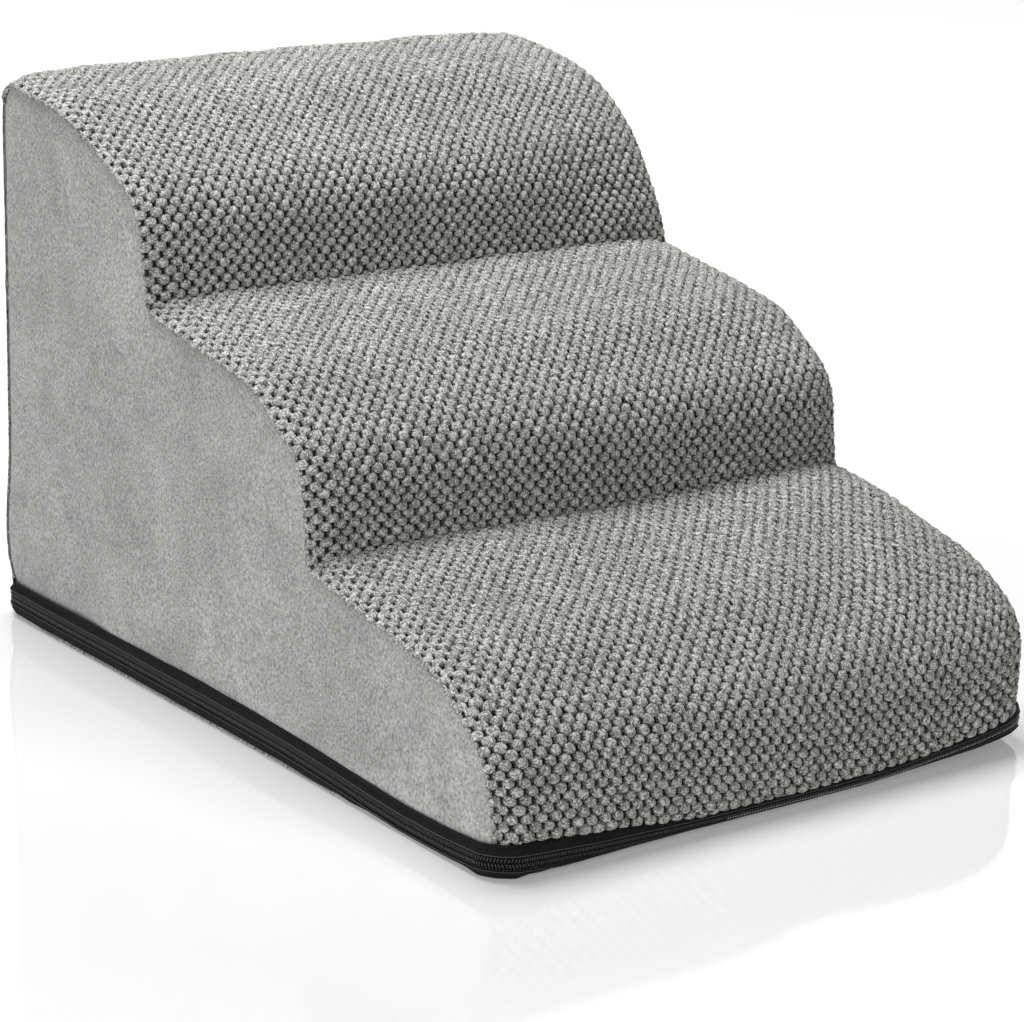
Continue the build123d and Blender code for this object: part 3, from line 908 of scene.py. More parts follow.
def cloth_point(across, along, lift):
    """Points of the fleece's backing, lifted by lift, in millimetres."""
    base = BACKING + crown_at(across) + 0.5 * lumps(across, along)
    x, out = across_point(across, base + lift, seam_level(along) - SEAM_DEPTH)
    past = np.clip(hem_length(x, along), 0, HEM_TUCK)
    out = out - past * past / HEM_TUCK
    front = along < TOTAL / 2
    along = np.where(front, along + 0.6 * past, along - 0.6 * past)
    yz = on_line(along, out)
    return np.concatenate([x[..., None], yz], -1)


def cloth_normals(across, along):
    """Outward unit normals of the fleece's backing."""
    step = 0.6
    du = cloth_point(across + step, along, 0.0) - cloth_point(across - step, along, 0.0)
    dv = cloth_point(across, along + step, 0.0) - cloth_point(across, along - step, 0.0)
    normal = np.cross(du, dv)
    return normal / np.maximum(np.linalg.norm(normal, axis=-1, keepdims=True), 1e-9)


print("width of the fleece over its turned seams in mm:", round(2 * HALF_CLOTH, 1))

# %% [markdown]
# ### Bubbles
# Rows of bubbles are 5 mm apart along the steps, every other row is moved half a bubble sideways,
# and bubbles are 9.25 mm apart in a row. No two are quite alike, so each one's place, height, size
# and lean are shaken a little. On the treads a bubble is a flat-topped cushion that fills its own
# cell. On the risers it is rounder and smaller, so more of the dark slots can be seen.

# %% Lattice of bubbles
ACROSS_PITCH = 9.25
ROW_PITCH = 5.0
BUBBLE_HEIGHT = 4.3
SPARE_ROWS = 9  # rows before the start of the outline
FARTHEST_BORDER = 7.0


def steepness(along):
    """0 on the treads and 1 on the risers, from the slope of the outline."""
    rise = on_line(along + 3.0, 0.0 * along)[..., 1] - on_line(along - 3.0, 0.0 * along)[..., 1]
    return ease(rise / 6.0, 0.55, 0.95)


def bubble_lattice(seed=11):
    """Centres, heights, sizes and leans of the bubbles, as arrays over rows and columns."""
    rng = np.random.default_rng(seed)
    rows = int(TOTAL / ROW_PITCH) + 2 * SPARE_ROWS + 1
    columns = int(2 * HALF_CLOTH / ACROSS_PITCH) + 7
    j, i = np.meshgrid(np.arange(rows), np.arange(columns), indexing="ij")
    across = (i - columns // 2 + 0.5 * (j % 2)) * ACROSS_PITCH
    along = (j - SPARE_ROWS) * ROW_PITCH
    across = across + rng.normal(0, 0.14, across.shape)
    along = along + rng.normal(0, 0.14, along.shape)
    height = BUBBLE_HEIGHT * rng.normal(1.0, 0.035, across.shape)
    size = rng.normal(1.0, 0.02, across.shape)
    lean = rng.normal(0, 0.2, (*across.shape, 2))
    return np.stack([across, along], -1), height, size, lean


def own_bubble(across, along, centres):
    """Row and column of the bubble nearest to each point of the flat cloth."""
    rows, columns = centres.shape[:2]
    here = np.stack([across, along], -1)
    middle_row = np.clip(np.round(along / ROW_PITCH).astype(int) + SPARE_ROWS, 2, rows - 3)
    best = np.full(across.shape, 1e9)
    own = np.zeros((*across.shape, 2), int)
    for dj in (-1, 0, 1):
        j = middle_row + dj
        i_mid = np.round(across / ACROSS_PITCH - 0.5 * (j % 2)).astype(int) + columns // 2
        for di in (-1, 0, 1):
            i = np.clip(i_mid + di, 2, columns - 3)
            gap = np.linalg.norm(here - centres[j, i], axis=-1)
            nearer = gap < best
            best = np.where(nearer, gap, best)
            own[nearer] = np.stack([j, i], -1)[nearer]
    return own[..., 0], own[..., 1]


def border_to_neighbours(j, i, way, centres):
    """How far each point's bubble may reach in the point's own direction."""
    rows, columns = centres.shape[:2]
    border = np.full(j.shape, FARTHEST_BORDER)
    odd = j % 2
    for dj, di in ((0, -1), (0, 1), (-2, 0), (2, 0), (-1, -1), (-1, 0), (1, -1), (1, 0)):
        row = np.clip(j + dj, 0, rows - 1)
        column = np.clip(i + di + (odd if abs(dj) == 1 else 0), 0, columns - 1)
        to = centres[row, column] - centres[j, i]
        facing = (way * to).sum(-1)
        half_way = (to * to).sum(-1) / 2 / np.maximum(facing, 1e-3)
        border = np.where(facing > 1e-3, np.minimum(border, half_way), border)
    return border


print("bubbles in the lattice:", bubble_lattice()[1].size)

# %% [markdown]
# ### Lifting the cloth into bubbles
# Every point of a fine flat grid finds its own bubble and how far that bubble reaches towards it.
# The points inside are drawn up over a dome, and outwards too, so that enough of them stand on
# its steep rim.

# %% Shape of a bubble
# (half width, half length, squareness, roundness)
TREAD_BUBBLE = (3.98, 3.45, 2.6, 0.16)
RISER_BUBBLE = (3.85, 3.4, 2.2, 0.3)


def bubble_surface(across, along):
    """Where each point of the flat grid goes in the cloth, and how high it stands."""
    centres, heights, sizes, leans = bubble_lattice()
    j, i = own_bubble(across, along, centres)
    centre = centres[j, i]
    way = np.stack([across, along], -1) - centre
    reach = np.linalg.norm(way, axis=-1)
    way = way / np.maximum(reach, 1e-6)[..., None]
    border = border_to_neighbours(j, i, way, centres)
    steep = steepness(centre[..., 1])[..., None]
    shape = np.array(TREAD_BUBBLE) * (1 - steep) + np.array(RISER_BUBBLE) * steep
    power, roundness = shape[..., 2], shape[..., 3]
    spread_out = (np.abs(way / shape[..., :2]) ** power[..., None]).sum(-1) ** (1 / power)
    radius = sizes[j, i] / np.maximum(spread_out, 1e-6)
    rim = np.minimum(border, radius)
    angle = np.clip(reach / rim, 0, 1) * np.arcsin(np.clip(rim / radius, 0, 1))
    share = np.sin(angle)
    stand = (1 - roundness * share ** 2) * (1 - share ** 8) ** 0.35
    side = np.where(reach < rim, radius * share, reach)
    stand = np.where(reach < rim, stand, np.where(border > radius, 0.0, stand))
    moved = centre + way * side[..., None]
    moved = moved + leans[j, i] * (stand ** 2)[..., None]
    return moved, heights[j, i] * stand, stand


# %% Bubble fleece
FINE_ACROSS = ACROSS_PITCH / 12
FINE_ALONG = 0.8
SPARE_CLOTH = 12.0
SEAM_DIVE = 0.8  # the sewn edge dives under the panel's edge
FUZZ_UP, FUZZ_SIDEWAYS = 0.15, 0.06
ROW_SAG_X = (-200, -100, 0, 60, 90, 120, 170, 200)
ROW_SAG = (16.0, 7.0, -6.0, -11.0, -12.0, -11.0, -3.0, 5.0)


def row_sag(across, along):
    """The rows of bubbles aren't level on the front: they hang in the middle."""
    sag = np.interp(across, ROW_SAG_X, ROW_SAG)
    return sag * (1 - 0.45 * ease(along, 90, 190) - 0.55 * ease(along, 190, 330))


def flat_share(values):
    """Values as shares of their range."""
    return (values - values.min()) / np.ptp(values)


half_count = int(HALF_CLOTH / FINE_ACROSS)
across_places = (np.arange(2 * half_count) - half_count + 0.5) * FINE_ACROSS
along_places = np.arange(-SPARE_CLOTH, TOTAL + SPARE_CLOTH, FINE_ALONG)
flat_across, flat_along = np.meshgrid(across_places, along_places)
moved, lift, stand = bubble_surface(flat_across, flat_along)
moved[..., 1] += row_sag(moved[..., 0], moved[..., 1])
# bubbles are lower where the cloth rolls over to the seam, and loose fibres stand out
lift = lift * (1 - 0.35 * ease(np.abs(flat_across), 186, 199))
rng = np.random.default_rng(3)
lift = lift + rng.normal(0, FUZZ_UP, lift.shape) * (0.2 + 0.8 * stand)
lift = np.where(np.abs(flat_across) > HALF_CLOTH - 1.0, -SEAM_DIVE, lift)
moved = moved + rng.normal(0, FUZZ_SIDEWAYS, moved.shape)
# and lower again where the cloth turns in at the hem
place_x = across_point(moved[..., 0], 0.0)[0]
past = hem_length(place_x, moved[..., 1])
lift = lift * (1 - 0.45 * ease(past, -2.0, HEM_TUCK))
base = cloth_point(moved[..., 0], moved[..., 1], 0.0)
normal = cloth_normals(moved[..., 0], moved[..., 1])
points = settle((base + normal * lift[..., None]).reshape(-1, 3))
faces = grid_faces(*flat_across.shape)
kept = faces[(past.reshape(-1)[faces] < HEM_TUCK).all(axis=1)]
flat = np.stack([flat_share(flat_across), flat_share(flat_along)], -1).reshape(-1, 2)
points, faces, flat, stand = used_only(points, kept, inset(flat), stand.reshape(-1))
fleece = add_mesh("step_face_bubbles", points, faces, fleece_look, flat_map=flat,
                  pile=stand)
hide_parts("step_face_panel")
print("bubble fleece:", len(points), "points, top at", round(points[:, 2].max(), 1), "mm")

# %% [markdown]
# ### Backing cloth
# Behind the bubbles lies the plain woven cloth that carries them, a little under their slots. It
# is painted dark grey, painted shade for the slots between the bubbles. It is smooth, so a coarse
# grid is enough.

# %% Backing cloth
BACKING_START = 14.0
BACKING_COLUMNS = 103
BACKING_GAP = 4.0
BEHIND_SLOTS = 0.6

back_columns = np.linspace(-HALF_CLOTH, HALF_CLOTH, BACKING_COLUMNS)
back_rows = np.arange(BACKING_START, BACK_HEM, BACKING_GAP)
back_across, back_along = np.meshgrid(back_columns, back_rows)
points = settle(cloth_point(back_across, back_along, -BEHIND_SLOTS).reshape(-1, 3))
faces = grid_faces(*back_across.shape)
backing = add_mesh("step_face_backing", points, faces, backing_look)
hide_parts("step_face_panel")
print("backing cloth:", len(points), "points")

# %% [markdown]
# ## Side panels
# Each side is one piece of short-nap cloth cut to the outline. It is sewn face to face with the
# fleece and turned, so its edge dives under the last row of bubbles, and the foam behind it
# pushes its middle out by a millimetre or two. A shape with such an edge is no grid, so its
# inside is filled with scattered points, and triangles join them all.

# %% Filling an outline
def inside_outline(points, outline):
    """Which points lie inside a closed outline."""
    x, y = points[:, 0], points[:, 1]
    inside = np.zeros(len(points), bool)
    for (x0, y0), (x1, y1) in zip(outline, np.roll(outline, -1, axis=0)):
        crosses = (y0 > y) != (y1 > y)
        with np.errstate(divide="ignore", invalid="ignore"):
            inside ^= crosses & (x < (x1 - x0) * (y - y0) / (y1 - y0 + 1e-12) + x0)
    return inside


def to_outline(points, outline, closed=True):
    """Distance of each point to an outline."""
    best = np.full(len(points), 1e9)
    ends = np.roll(outline, -1, axis=0) if closed else outline[1:]
    for a, b in zip(outline, ends):
        ab = b - a
        t = np.clip(((points - a) @ ab) / (ab @ ab + 1e-12), 0, 1)
        best = np.minimum(best, np.linalg.norm(points - a - t[:, None] * ab, axis=1))
    return best


def filled(outline, scattered, clear):
    """Points and triangles of an outline, with scattered points at least clear inside it."""
    inner = scattered[inside_outline(scattered, outline)]
    inner = inner[to_outline(inner, outline) > clear]
    every = np.concatenate([outline, inner])
    edges = [(k, (k + 1) % len(outline)) for k in range(len(outline))]
    found = delaunay_2d_cdt([Vector(p) for p in every], edges, [], 1, 1e-4)
    return np.array([tuple(p) for p in found[0]]), np.array([list(face) for face in found[2]])


# %% Side panels
# between the points inside, along the sewn edge and along the foot
PANEL_GAP, SEWN_GAP, FOOT_GAP = 4.0, 2.8, 3.0
LOWEST_INSIDE = 12.0
SCATTER = 0.8  # how far the points inside are shaken off their grid
EDGE_CLEAR = 2.0
SEWN_START, SEWN_END = 26.0, 20.0  # how far the sewn edge stays from both ends of the outline
BEHIND_BAND = 3.0  # how far the panel reaches down behind the band
PANEL_SINK = 0.4
SWELL, SWELL_REACH = 1.6, 14.0  # the foam behind pushes the middle out
UNEVEN, UNEVEN_REACH = 0.45, 30.0
EDGE_DIVE, EDGE_REACH = 1.0, 2.0  # the sewn edge dives in
HEM_DIVE, HEM_REACH = 2.2, 4.0  # and so does the hem, from behind the band to just above it


def side_outline():
    """Closed outline (y, z) of a side panel, and how many of its points are sewn."""
    along = np.arange(SEWN_START, TOTAL - SEWN_END, SEWN_GAP)
    sewn = on_line(along, seam_level(along))
    first, last = sewn[0][0], sewn[-1][0]
    y = np.linspace(last, first, int((last - first) / FOOT_GAP))[1:-1]
    foot = np.stack([y, np.full(len(y), 0.0)], 1)
    return np.concatenate([sewn, foot]), len(sewn)


def side_mesh(side, seed):
    """Points and triangles of one side panel."""
    outline, sewn = side_outline()
    foot_at = left_at if side < 0 else right_at
    outline[sewn:, 1] = band_top(foot_at(outline[sewn:, 0])) - BEHIND_BAND
    rng = np.random.default_rng(seed)
    ys = np.arange(-HALF_LENGTH, HALF_LENGTH + PANEL_GAP, PANEL_GAP)
    y, z = np.meshgrid(ys, np.arange(LOWEST_INSIDE, HEIGHT, PANEL_GAP))
    scattered = np.stack([y.ravel(), z.ravel()], 1) + rng.uniform(-SCATTER, SCATTER, (y.size, 2))
    flat, faces = filled(outline, scattered, EDGE_CLEAR)
    depth = to_outline(flat, outline[:sewn], closed=False)
    swell = waves(seed + 40, (60, 200))
    out = SWELL * (1 - np.exp(-depth / SWELL_REACH))
    out = out + UNEVEN * swell(flat[:, 0], flat[:, 1]) * np.clip(depth / UNEVEN_REACH, 0, 1)
    out = out - EDGE_DIVE * np.exp(-depth / EDGE_REACH)
    above = flat[:, 1] - band_top(foot_at(flat[:, 0]))
    out = out - HEM_DIVE * (1 - ease(above, -BEHIND_BAND, HEM_REACH))
    points = np.column_stack([side * (HALF_WIDTH - PANEL_SINK + out), flat])
    if side < 0:
        faces = faces[:, ::-1]
    return settle(points), faces


for side, node in ((-1, "left_side_panel"), (1, "right_side_panel")):
    points, faces = side_mesh(side, 21 if side < 0 else 22)
    panel = add_mesh(node + "_cloth", points, faces, nap_look)
    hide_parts(node)
    print(node, len(points), "points")

# %% [markdown]
# ## Base band and zip
# The band is two folded strips of black cloth with a nylon coil zip between them. It follows the
# foot of the stairs round soft corners. The strips stand a little proud, the upper one shows a
# folded edge over the tape, and the lower one turns in under the base. Along the front the cover
# pushes the band down, so the chain runs lower there. Each strip is a cross-section carried round
# the base: a list of distances out and heights that follow the tables, with a little unevenness
# so that it looks sewn.

# %% Strips
CHAIN_HALF = 4.3  # from the middle of the chain to the folded edges
FOLD_CLEAR = 1.4  # how far the lower fold stays off the floor
UPPER_WIDTH, LOWER_WIDTH = 14.0, 25.0  # of the strips laid flat
ripple = waves(31, (18, 70))
fine_ripple = waves(32, (5, 14))


def band_piece(name, u, section, material):
    """A strip round the base. section gives (out, z) columns for the places u."""
    columns = [band_point(u, out, z) for out, z in section(u)]
    points = np.stack(columns, 0)
    rows, count = points.shape[:2]
    run = np.concatenate([[0], np.cumsum(np.linalg.norm(np.diff(points[0], axis=0), axis=1))])
    flat = np.stack(np.meshgrid(run / run[-1], np.linspace(0, 1, rows)), -1).reshape(-1, 2)
    faces = grid_faces(rows, count)
    return add_mesh(name, points.reshape(-1, 3), faces, material, flat_map=inset(flat))


def wobble(u, k):
    """Small unevenness of sewn cloth, in millimetres."""
    return 0.35 * ripple(u, 9.0 * k) + 0.12 * fine_ripple(u, 5.0 * k)


def upper_fold(u):
    """Height of the upper strip's folded edge."""
    return zip_level(u) + CHAIN_HALF + 0.3 * wobble(u, 0)


def lower_fold(u):
    """Height of the lower strip's folded edge."""
    return np.maximum(zip_level(u) - CHAIN_HALF + 0.3 * wobble(u, 2), FOLD_CLEAR + foot_lift(u))


def upper_section(u):
    """Upper strip: from under the cover's hem down to its fold and back up behind it."""
    f, shake, fold = flare(u), 0.3 * wobble(u, 0), upper_fold(u)
    top = np.maximum(band_top(u), fold + 2.0)
    middle = (top + fold) / 2
    return [
        (0.6 + 0.3 * f, top + 0.9), (2.2 + 0.6 * f, top + 0.5), (3.4 + 0.9 * f + shake, top - 0.6),
        (4.1 + f + 0.4 * wobble(u, 1), middle), (4.55 + f + shake, fold + 0.9),
        (4.5 + f + shake, fold + 0.25), (4.1 + f + shake, fold),
        (3.7 + f + shake, fold + 0.2), (3.3 + f, fold + 1.0), (3.15 + f, fold + 2.4),
    ]


def lower_section(u):
    """Lower strip: from behind its fold over the edge and down under the base."""
    f, w, fold, lift = flare(u), wobble(u, 2), lower_fold(u), foot_lift(u)
    shake = 0.3 * w
    back = np.maximum(fold - 2.4, 0.6 + lift)
    return [
        (3.15 + f, back), (3.3 + f, (back + fold) / 2), (3.7 + f + shake, fold - 0.2),
        (4.1 + f + shake, fold), (4.5 + f + shake, fold - 0.3),
        (4.5 + f + shake, np.maximum(fold - 1.0, lift + 1.0)),
        (3.5 + f + 0.4 * wobble(u, 3), 0.45 * fold + 0.55 * lift + 0.3),
        (1.9 + 0.9 * f + 0.4 * w, np.minimum(1.3, 0.4 * (fold - lift)) + lift),
        (0.2 + 0.8 * f, 0.4 + lift), (-2.0 + 0.5 * f, 0.15 + 0.95 * lift),
        (-10.0 + 0 * u, 0.05 + 0.84 * lift),
    ]


whole = even_round(0.0, ROUND, COLUMN_GAP)
for node, section, width, under in (
    ("upper_strip", upper_section, UPPER_WIDTH, "soft_wrap_foam"),
    ("lower_strip", lower_section, LOWER_WIDTH, "bottom_panel_cloth"),
):
    strip = band_piece(node + "_cloth", whole, section, strip_look)
    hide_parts(node)
    print(node, "in mm:", round(ROUND), "by", width)

# %% [markdown]
# ### Tapes
# A zip's two woven tapes lie behind the strips' folds and meet under the chain. They start behind
# the stairs on the left, run round the front and end at the right rear corner, a little past the
# chain at both ends. Where the band is near the floor, a tape turns in over it.

# %% Zip tapes
TAPE_WIDTH = 10.6
TAPE_FLOOR = 0.7
TAIL_FIRST, TAIL_LAST = 12.0, 11.0
chain_first = rear_left - 30.0
chain_last = right_end - 14.0


def tape_section(side):
    """One zip tape, from its woven edge by the chain to its sewn edge behind the strip."""
    def section(u):
        level, f = zip_level(u), flare(u)
        floor = TAPE_FLOOR + foot_lift(u)
        columns = [(2.5 + f, np.maximum(level + side * 0.2, floor))]
        for down in np.linspace(0.2, TAPE_WIDTH, 7):
            z = level + side * down
            under = np.clip(floor - z, 0, None)
            columns.append((2.9 - 0.04 * down + f - under, np.maximum(z, floor)))
        return columns[::-side]
    return section


tape_places = even_round(chain_first - TAIL_FIRST, chain_last + TAIL_LAST, COLUMN_GAP)
for side, node, under in (
    (1, "zip_upper_tape", "upper_strip_cloth"), (-1, "zip_lower_tape", "lower_strip_cloth"),
):
    tape = band_piece(node + "_cloth", tape_places, tape_section(side), tape_look)
    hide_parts(node)
print("zip tapes in mm:", round(np.ptp(tape_places)), "by", TAPE_WIDTH)

# %% [markdown]
# ### Bridge cloth
# Behind the stairs, between the two ends of the zip, a plain cloth closes the gap between the
# strips. It meets itself in the middle of the back, so it is built as a left and a right piece.

# %% Bridge cloth
BRIDGE_WIDTH = 14.0


def bridge_section(u):
    """Plain cloth across the back, where there is no zip."""
    level, f, half = zip_level(u), flare(u), BRIDGE_WIDTH / 2
    return [
        (2.8 + f, level + half), (3.2 + f, level + 3.0), (3.25 + f, level - 3.0),
        (2.8 + f, level - half),
    ]


for name, start, end in (
    ("bridge_cloth_left", 0.0, chain_first - 11.0), ("bridge_cloth_right", right_end - 2.0, ROUND),
):
    places = even_round(start, end, COLUMN_GAP)
    bridge = band_piece(name, places, bridge_section, strip_look)
    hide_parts("bridge_cloth")
    print(name, "in mm:", round(np.ptp(places)))

# %% [markdown]
# ### Folded edges
# Cloth shows a fine, slightly shiny line where it is folded sharply. A thin round edge along each
# strip stands for it, painted a paler black than the strip: a painted highlight.

# %% Edges of the strips
RING = np.arange(6) * math.pi / 3  # six places round a thin edge or bar


def round_edge(name, out, z, radius):
    """A thin round edge laid along a strip, in the paler black of the painted highlight."""
    o = out[None, :] + radius * np.cos(RING)[:, None]
    h = z[None, :] + radius * np.sin(RING)[:, None]
    points = band_point(np.broadcast_to(whole, o.shape), o, h).transpose(1, 0, 2).reshape(-1, 3)
    faces = grid_faces(len(whole), len(RING), closed=True)
    add_mesh(name, points, faces, edge_highlight_and_overlock_look)
    print(name, len(points), "points")


round_edge("upper_strip_edge", 4.55 + flare(whole) + 0.3 * wobble(whole, 0),
           upper_fold(whole) + 0.35, 0.30)
round_edge("lower_strip_edge", 4.5 + flare(whole) + 0.3 * wobble(whole, 2),
           lower_fold(whole) - 0.3, 0.22)

# %% [markdown]
# ### Chain
# A coil zip is one nylon thread wound into a spring and sewn to its tape. Each turn shows as a
# short rounded bar, slanted by the pitch of the winding, and the two rows mesh in the middle. A
# row of stitches holds each coil down along its outer edge. The rows stand a little wider along
# the left and the front, and close on the right side, where the slider runs over them.

# %% Zip chain
TURN_PITCH = 1.65


def bars(places, length, radius, rise, slant, out, level, seed):
    """Points and faces of short rounded bars across the chain, at places round the base.

    rise is how far a bar's middle arches out, and slant how far its ends lean along the chain.
    """
    rng = np.random.default_rng(seed)
    t = np.array([-1.0, -0.92, -0.6, 0.0, 0.6, 0.92, 1.0])
    thick = np.array([0.0, 0.62, 1.0, 1.0, 1.0, 0.62, 0.0])
    shake = rng.normal(0, 0.05, (len(places), 3))[:, :, None, None]
    length = np.broadcast_to(length, places.shape)
    level, out, places = (v[:, None, None] for v in (level, out, places))
    z = level + shake[:, 0] + (length[:, None] * t / 2)[:, :, None]
    arch = (rise * (1 - t * t))[None, :, None]
    around = radius * thick[None, :, None]
    lift = out + arch + shake[:, 1] + around * np.sin(RING)
    along = places + slant * t[None, :, None] + shake[:, 2] + around * np.cos(RING)
    points = band_point(*np.broadcast_arrays(along, lift, z))
    one = grid_faces(len(t), len(RING), closed=True)
    starts = np.arange(len(places)) * len(t) * len(RING)
    return points.reshape(-1, 3), (one[None] + starts[:, None, None]).reshape(-1, 4)


chain_spread = round_table(
    (0, 1.2), (front_start, 1.2), (front_end, 1.1), (right_start - 8, 0.92), (right_end, 0.92),
    (ROUND, 1.2),
)
stitch_place = round_table(
    (0, 4.0), (front_start, 4.0), (front_end, 3.7), (right_start - 8, 2.55), (right_end, 2.55),
    (ROUND, 4.0),
)
turns = np.arange(chain_first, chain_last, TURN_PITCH)
wide = chain_spread(turns)
out = 2.9 + flare(turns)
for side, node in ((1, "zip_upper_coil"), (-1, "zip_lower_coil")):
    places = turns + (0.0 if side > 0 else TURN_PITCH / 2)
    level = zip_level(turns) + side * 1.45 * wide
    points, faces = bars(places, 3.1 * wide, 0.46, 1.0, side * 0.5, out, level, 50 + side)
    coil = add_mesh(node + "_turns", points, faces, coil_look)
    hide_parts(node)
    level = zip_level(turns) + side * stitch_place(turns)
    points, faces = bars(places, 0.95, 0.26, 0.3, 0.3, out + 0.1, level, 60 + side)
    add_mesh(node + "_stitches", points, faces, thread_look)
    print(node, len(turns), "turns")

# %% [markdown]
# ### Pale bars and overlock stitches
# Along the front a row of pale bars shows in the middle of the band, where the upper strip is
# pressed over the chain: painted highlights for the glints on the coil's turns. Overlock stitches
# bind the cut edge of the turn-in, and some of them stick out from under the left side. Both are
# the same short bars.

# %% Painted highlights along the front
FRONT_HIGHLIGHT_PITCH = 2.0
# pale bars standing for the glints on the coil's turns: painted highlights
places = np.arange(front_at(-40), right_start - 6, FRONT_HIGHLIGHT_PITCH)
points, faces = bars(places, 0.9, 0.34, 0.1, 0.3, 4.5 + flare(places), zip_level(places) + 1.3, 73)
add_mesh("zip_upper_coil_front_highlights", points, faces, coil_highlight_look)
print("painted highlights along the front:", len(places))

# %% Overlock stitches
OVERLOCK_PITCH = 2.1
places = np.arange(left_at(230), left_at(-120), OVERLOCK_PITCH)
rng = np.random.default_rng(71)
places = places + rng.normal(0, 0.5, len(places))
out = 3.0 + 0.9 * flare(places) + rng.normal(0, 0.2, len(places))
level = 1.6 + rng.normal(0, 0.25, len(places))
points, faces = bars(places, 2.4, 0.3, 0.2, 0.9, out, level, 72)
# the overlock thread shares the paler black of the painted edge highlights
add_mesh("lower_strip_overlock", points, faces, edge_highlight_and_overlock_look)
print("overlock stitches:", len(places))

# %% [markdown]
# ## Underside
# A plain woven cloth closes the bottom, sewn to the turned-in hem. It sags a little between its
# seams and rises with the foot at the front right.

# %% Bottom cloth
BOTTOM_GAP = 8.0
HEM_INSET = 2.6


def bottom_mesh():
    """Points and triangles of the bottom cloth."""
    outline = base_outline(-HEM_INSET)
    xs = np.arange(-HALF_WIDTH, HALF_WIDTH, BOTTOM_GAP)
    x, y = np.meshgrid(xs, np.arange(-HALF_LENGTH, HALF_LENGTH, BOTTOM_GAP))
    flat, faces = filled(outline, np.stack([x.ravel(), y.ravel()], 1), 4.0)
    depth = to_outline(flat, outline)
    sag = waves(77, (40, 140))(flat[:, 0], flat[:, 1])
    z = 0.62 + 0.25 * (1 + np.clip(sag, -1, 1)) * np.clip(depth / 25 - 0.4, 0, 1)
    return np.column_stack([flat, z + raised_foot(flat)]), faces[:, ::-1]


points, faces = bottom_mesh()
bottom = add_mesh("bottom_panel_cloth", points, faces, bottom_look)
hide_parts("bottom_panel")
print("bottom cloth:", len(points), "points")

# %% [markdown]
# ### Grip dots
# Small rubber dots are printed on the bottom cloth and keep the stairs from sliding. They have
# the shape of their solids, raised with the cloth that they are printed on.

# %% Grip dots
printed = nodes["grip_dots"]
points = np.array([printed.matrix_world @ corner.co for corner in printed.data.vertices]) * 1000
points[:, 2] += raised_foot(points[:, :2])
faces = [list(face.vertices) for face in printed.data.polygons]
dots = add_mesh("grip_dots_printed", points, faces, rubber_look, smooth=False)
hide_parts("grip_dots")
print("grip dots:", len(points), "points")

# %% [markdown]
# ## Finishes on the small hard parts
# The slider, its bail and the pull tab are die-cast zinc with black paint, rubbed bright on the
# edges. So are the two clips at the top of the zip, and the stop at its bottom is nylon. Their
# solids already have the right shape, so they only need a finish.

# %% Small parts
for node, look in (
    ("zip_slider_body", metal_look), ("zip_slider_bail", metal_look), ("zip_pull_tab", metal_look),
    ("zip_top_stops", metal_look), ("zip_bottom_stop", coil_look),
):
    for slot in nodes[node].material_slots:
        slot.material = look
    print(node, "in", look.name)

# %% [markdown]
# ## Floor
# A white floor with a soft shadow and a faint mirror image. It glows a little for the rays that
# show it, more and more with distance, so that it runs into the white behind it, and its glow
# lights nothing.

# %% Floor
FLOOR_SIZE = 14.0  # metres
FLOOR_DROP = 0.0004  # keeps the floor clear of the stairs' flat underside


def seen_rays(tree):
    """1 for rays that show the surroundings: straight, mirrored or through something clear."""
    path = add_node(tree, "ShaderNodeLightPath").outputs
    either = maths(tree, "MAXIMUM", path["Is Camera Ray"], path["Is Glossy Ray"])
    return maths(tree, "MAXIMUM", either, path["Is Transmission Ray"])


def joined(tree, kind, first, second, **inputs):
    """A node that mixes or adds two shaders, which are its last two inputs."""
    node = add_node(tree, kind, **inputs)
    tree.links.new(first.outputs[0], node.inputs[-2])
    tree.links.new(second.outputs[0], node.inputs[-1])
    return node


def floor_material():
    """White floor with a faint reflection and a soft contact shadow."""
    material = bpy.data.materials.new("Floor")
    material.use_nodes = True
    tree = material.node_tree
    tree.nodes.clear()
    end = tree.nodes.new("ShaderNodeOutputMaterial")
    diffuse = add_node(tree, "ShaderNodeBsdfDiffuse", Color=grey(0.75))
    away = add_node(tree, "ShaderNodeVectorMath", {"operation": "LENGTH"},
                    i0=add_node(tree, "ShaderNodeNewGeometry").outputs["Position"])
    far = spread(tree, away.outputs["Value"], 0.45, 2.2, 0.26, 0.9)
    glow = add_node(tree, "ShaderNodeEmission", Color=grey(1.0), Strength=far)
    no_glow = add_node(tree, "ShaderNodeEmission", Color=grey(0.0), Strength=0.0)
    gloss = add_node(tree, "ShaderNodeBsdfGlossy", Color=grey(1.0), Roughness=0.06)
    lit = joined(tree, "ShaderNodeMixShader", no_glow, glow, Fac=seen_rays(tree))
    total = joined(tree, "ShaderNodeAddShader", diffuse, lit)
    mirror = joined(tree, "ShaderNodeMixShader", total, gloss, Fac=0.18)
    tree.links.new(mirror.outputs[0], end.inputs["Surface"])
    return material


bpy.ops.mesh.primitive_plane_add(size=FLOOR_SIZE, location=(0, 0, -FLOOR_DROP))
floor = bpy.context.object
floor.name = "floor"
floor.data.materials.append(floor_material())
floor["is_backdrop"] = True
print("floor:", FLOOR_SIZE, "m square")

# %% [markdown]
# ## Light
# White surroundings are seen but light the stairs only weakly. The light comes from five soft
# lamps: a large one overhead, a little behind the middle, two at the left that brighten the side
# panel and the front, and two weaker ones at the right.

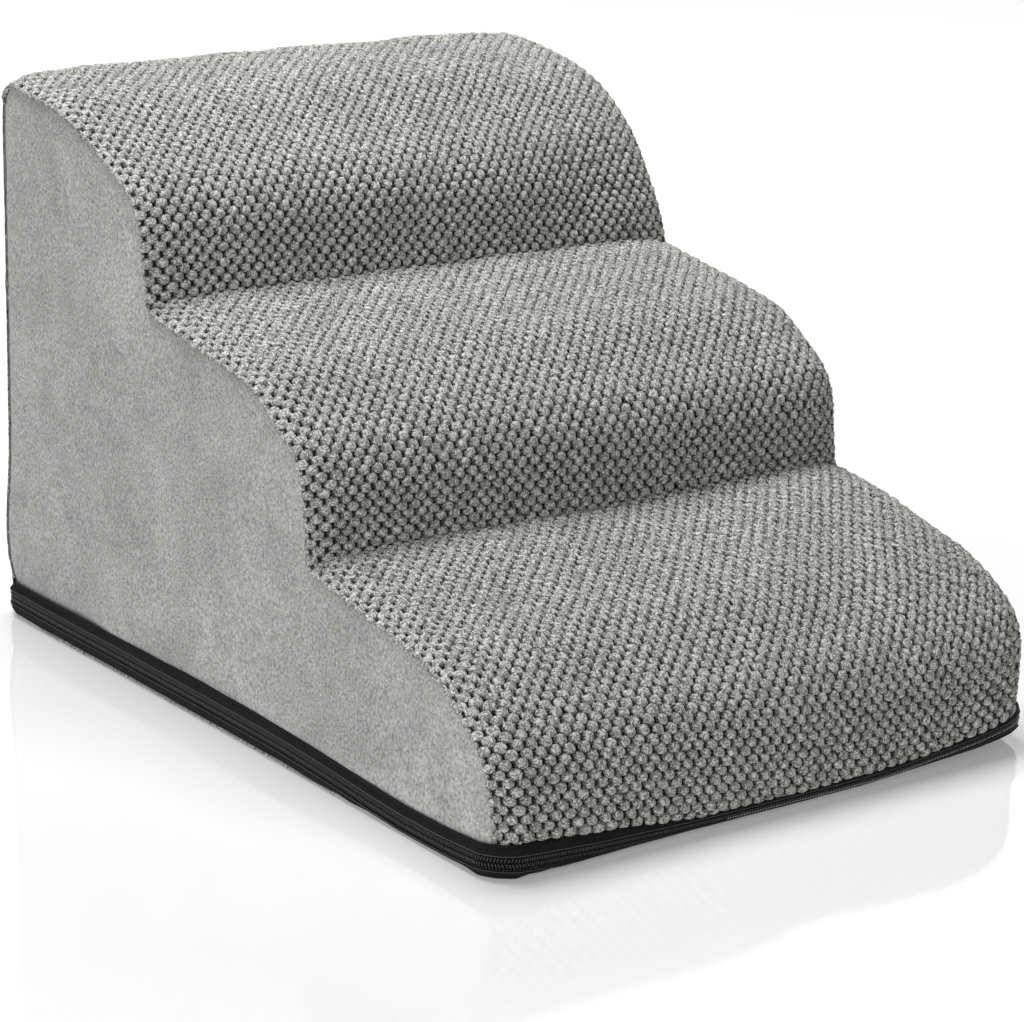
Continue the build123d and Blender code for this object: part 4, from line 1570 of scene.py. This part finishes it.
# %% Light
world = bpy.data.worlds.new("Studio")
bpy.context.scene.world = world
world.use_nodes = True
sky = world.node_tree
sky.nodes.clear()
sky_end = sky.nodes.new("ShaderNodeOutputWorld")
seen = add_node(sky, "ShaderNodeBackground", Color=grey(1.0), Strength=1.0)
felt = add_node(sky, "ShaderNodeBackground", Color=grey(1.0), Strength=0.03)
either = joined(sky, "ShaderNodeMixShader", felt, seen, Fac=seen_rays(sky))
sky.links.new(either.outputs[0], sky_end.inputs["Surface"])


def area_light(name, place, aim, size, watts):
    """A soft rectangular lamp at a place, turned to an aim, all in metres."""
    data = bpy.data.lights.new(name, "AREA")
    data.shape = "RECTANGLE"
    data.size, data.size_y = size
    data.energy = watts
    lamp = bpy.data.objects.new(name, data)
    lamp.location = place
    lamp.rotation_mode = "QUATERNION"
    lamp.rotation_quaternion = (Vector(aim) - Vector(place)).to_track_quat("-Z", "Y")
    bpy.context.scene.collection.objects.link(lamp)
    print("lamp:", name, watts, "W")


area_light("Overhead", (-0.15, 0.45, 1.9), (0.0, 0.0, 0.15), (1.3, 0.9), 39.5)
area_light("Left", (-2.1, -0.35, 0.6), (0.0, 0.0, 0.15), (1.0, 1.0), 7.4)
area_light("Front left", (-1.5, -1.25, 0.7), (0.0, 0.0, 0.15), (1.0, 1.0), 11.4)
area_light("Right", (1.5, -1.4, 0.8), (0.1, -0.1, 0.1), (0.8, 0.8), 3.5)
area_light("Far right", (2.2, 0.5, 0.7), (0.2, 0.1, 0.15), (1.0, 1.0), 6.0)

# %% [markdown]
# ## Camera
# The camera stands in front and to the left, and looks down on the steps with a long lens. It is
# placed by two angles and a distance from a point it looks at, then rolled by a degree or so.

# %% Camera
AZIMUTH, ELEVATION, ROLL = -36.5007885, 16.6171473, 1.41993294
DISTANCE, FOCUS_X, FOCUS_Z = 2.09049561, 0.00864994, 0.10805803
FOCAL_PIXELS, IMAGE_WIDTH = 3299.24514, 1024
SENSOR_WIDTH = 36.0

azimuth, elevation, roll = (math.radians(angle) for angle in (AZIMUTH, ELEVATION, ROLL))
flat_part = math.cos(elevation)
back = Vector((math.sin(azimuth) * flat_part, -math.cos(azimuth) * flat_part, math.sin(elevation)))
level_right = (-back).cross(Vector((0, 0, 1))).normalized()
level_up = level_right.cross(-back)
right = level_right * math.cos(roll) + level_up * math.sin(roll)
up = level_up * math.cos(roll) - level_right * math.sin(roll)
lens = bpy.data.cameras.new("Camera")
lens.sensor_width = SENSOR_WIDTH
lens.lens = FOCAL_PIXELS / IMAGE_WIDTH * SENSOR_WIDTH
lens.clip_start, lens.clip_end = 0.05, 60
camera = bpy.data.objects.new("Camera", lens)
place = Vector((FOCUS_X, 0, FOCUS_Z)) + back * DISTANCE
turn = Matrix((right, up, back)).transposed().to_4x4()
camera.matrix_world = Matrix.Translation(place) @ turn
bpy.context.scene.collection.objects.link(camera)
bpy.context.scene.camera = camera
bpy.context.scene.view_settings.view_transform = "Standard"
print("camera at", [round(v, 3) for v in place], "lens", round(lens.lens, 2))

# %% [markdown]
# ## Sizes
# The last cell notes the box of everything shown. Soft cloth may stand a little proud of the
# solids, but nothing more.

# %% Sizes
low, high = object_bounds()
print("shown box in mm:", [round(1000 * v, 1) for v in (*low, *high)])
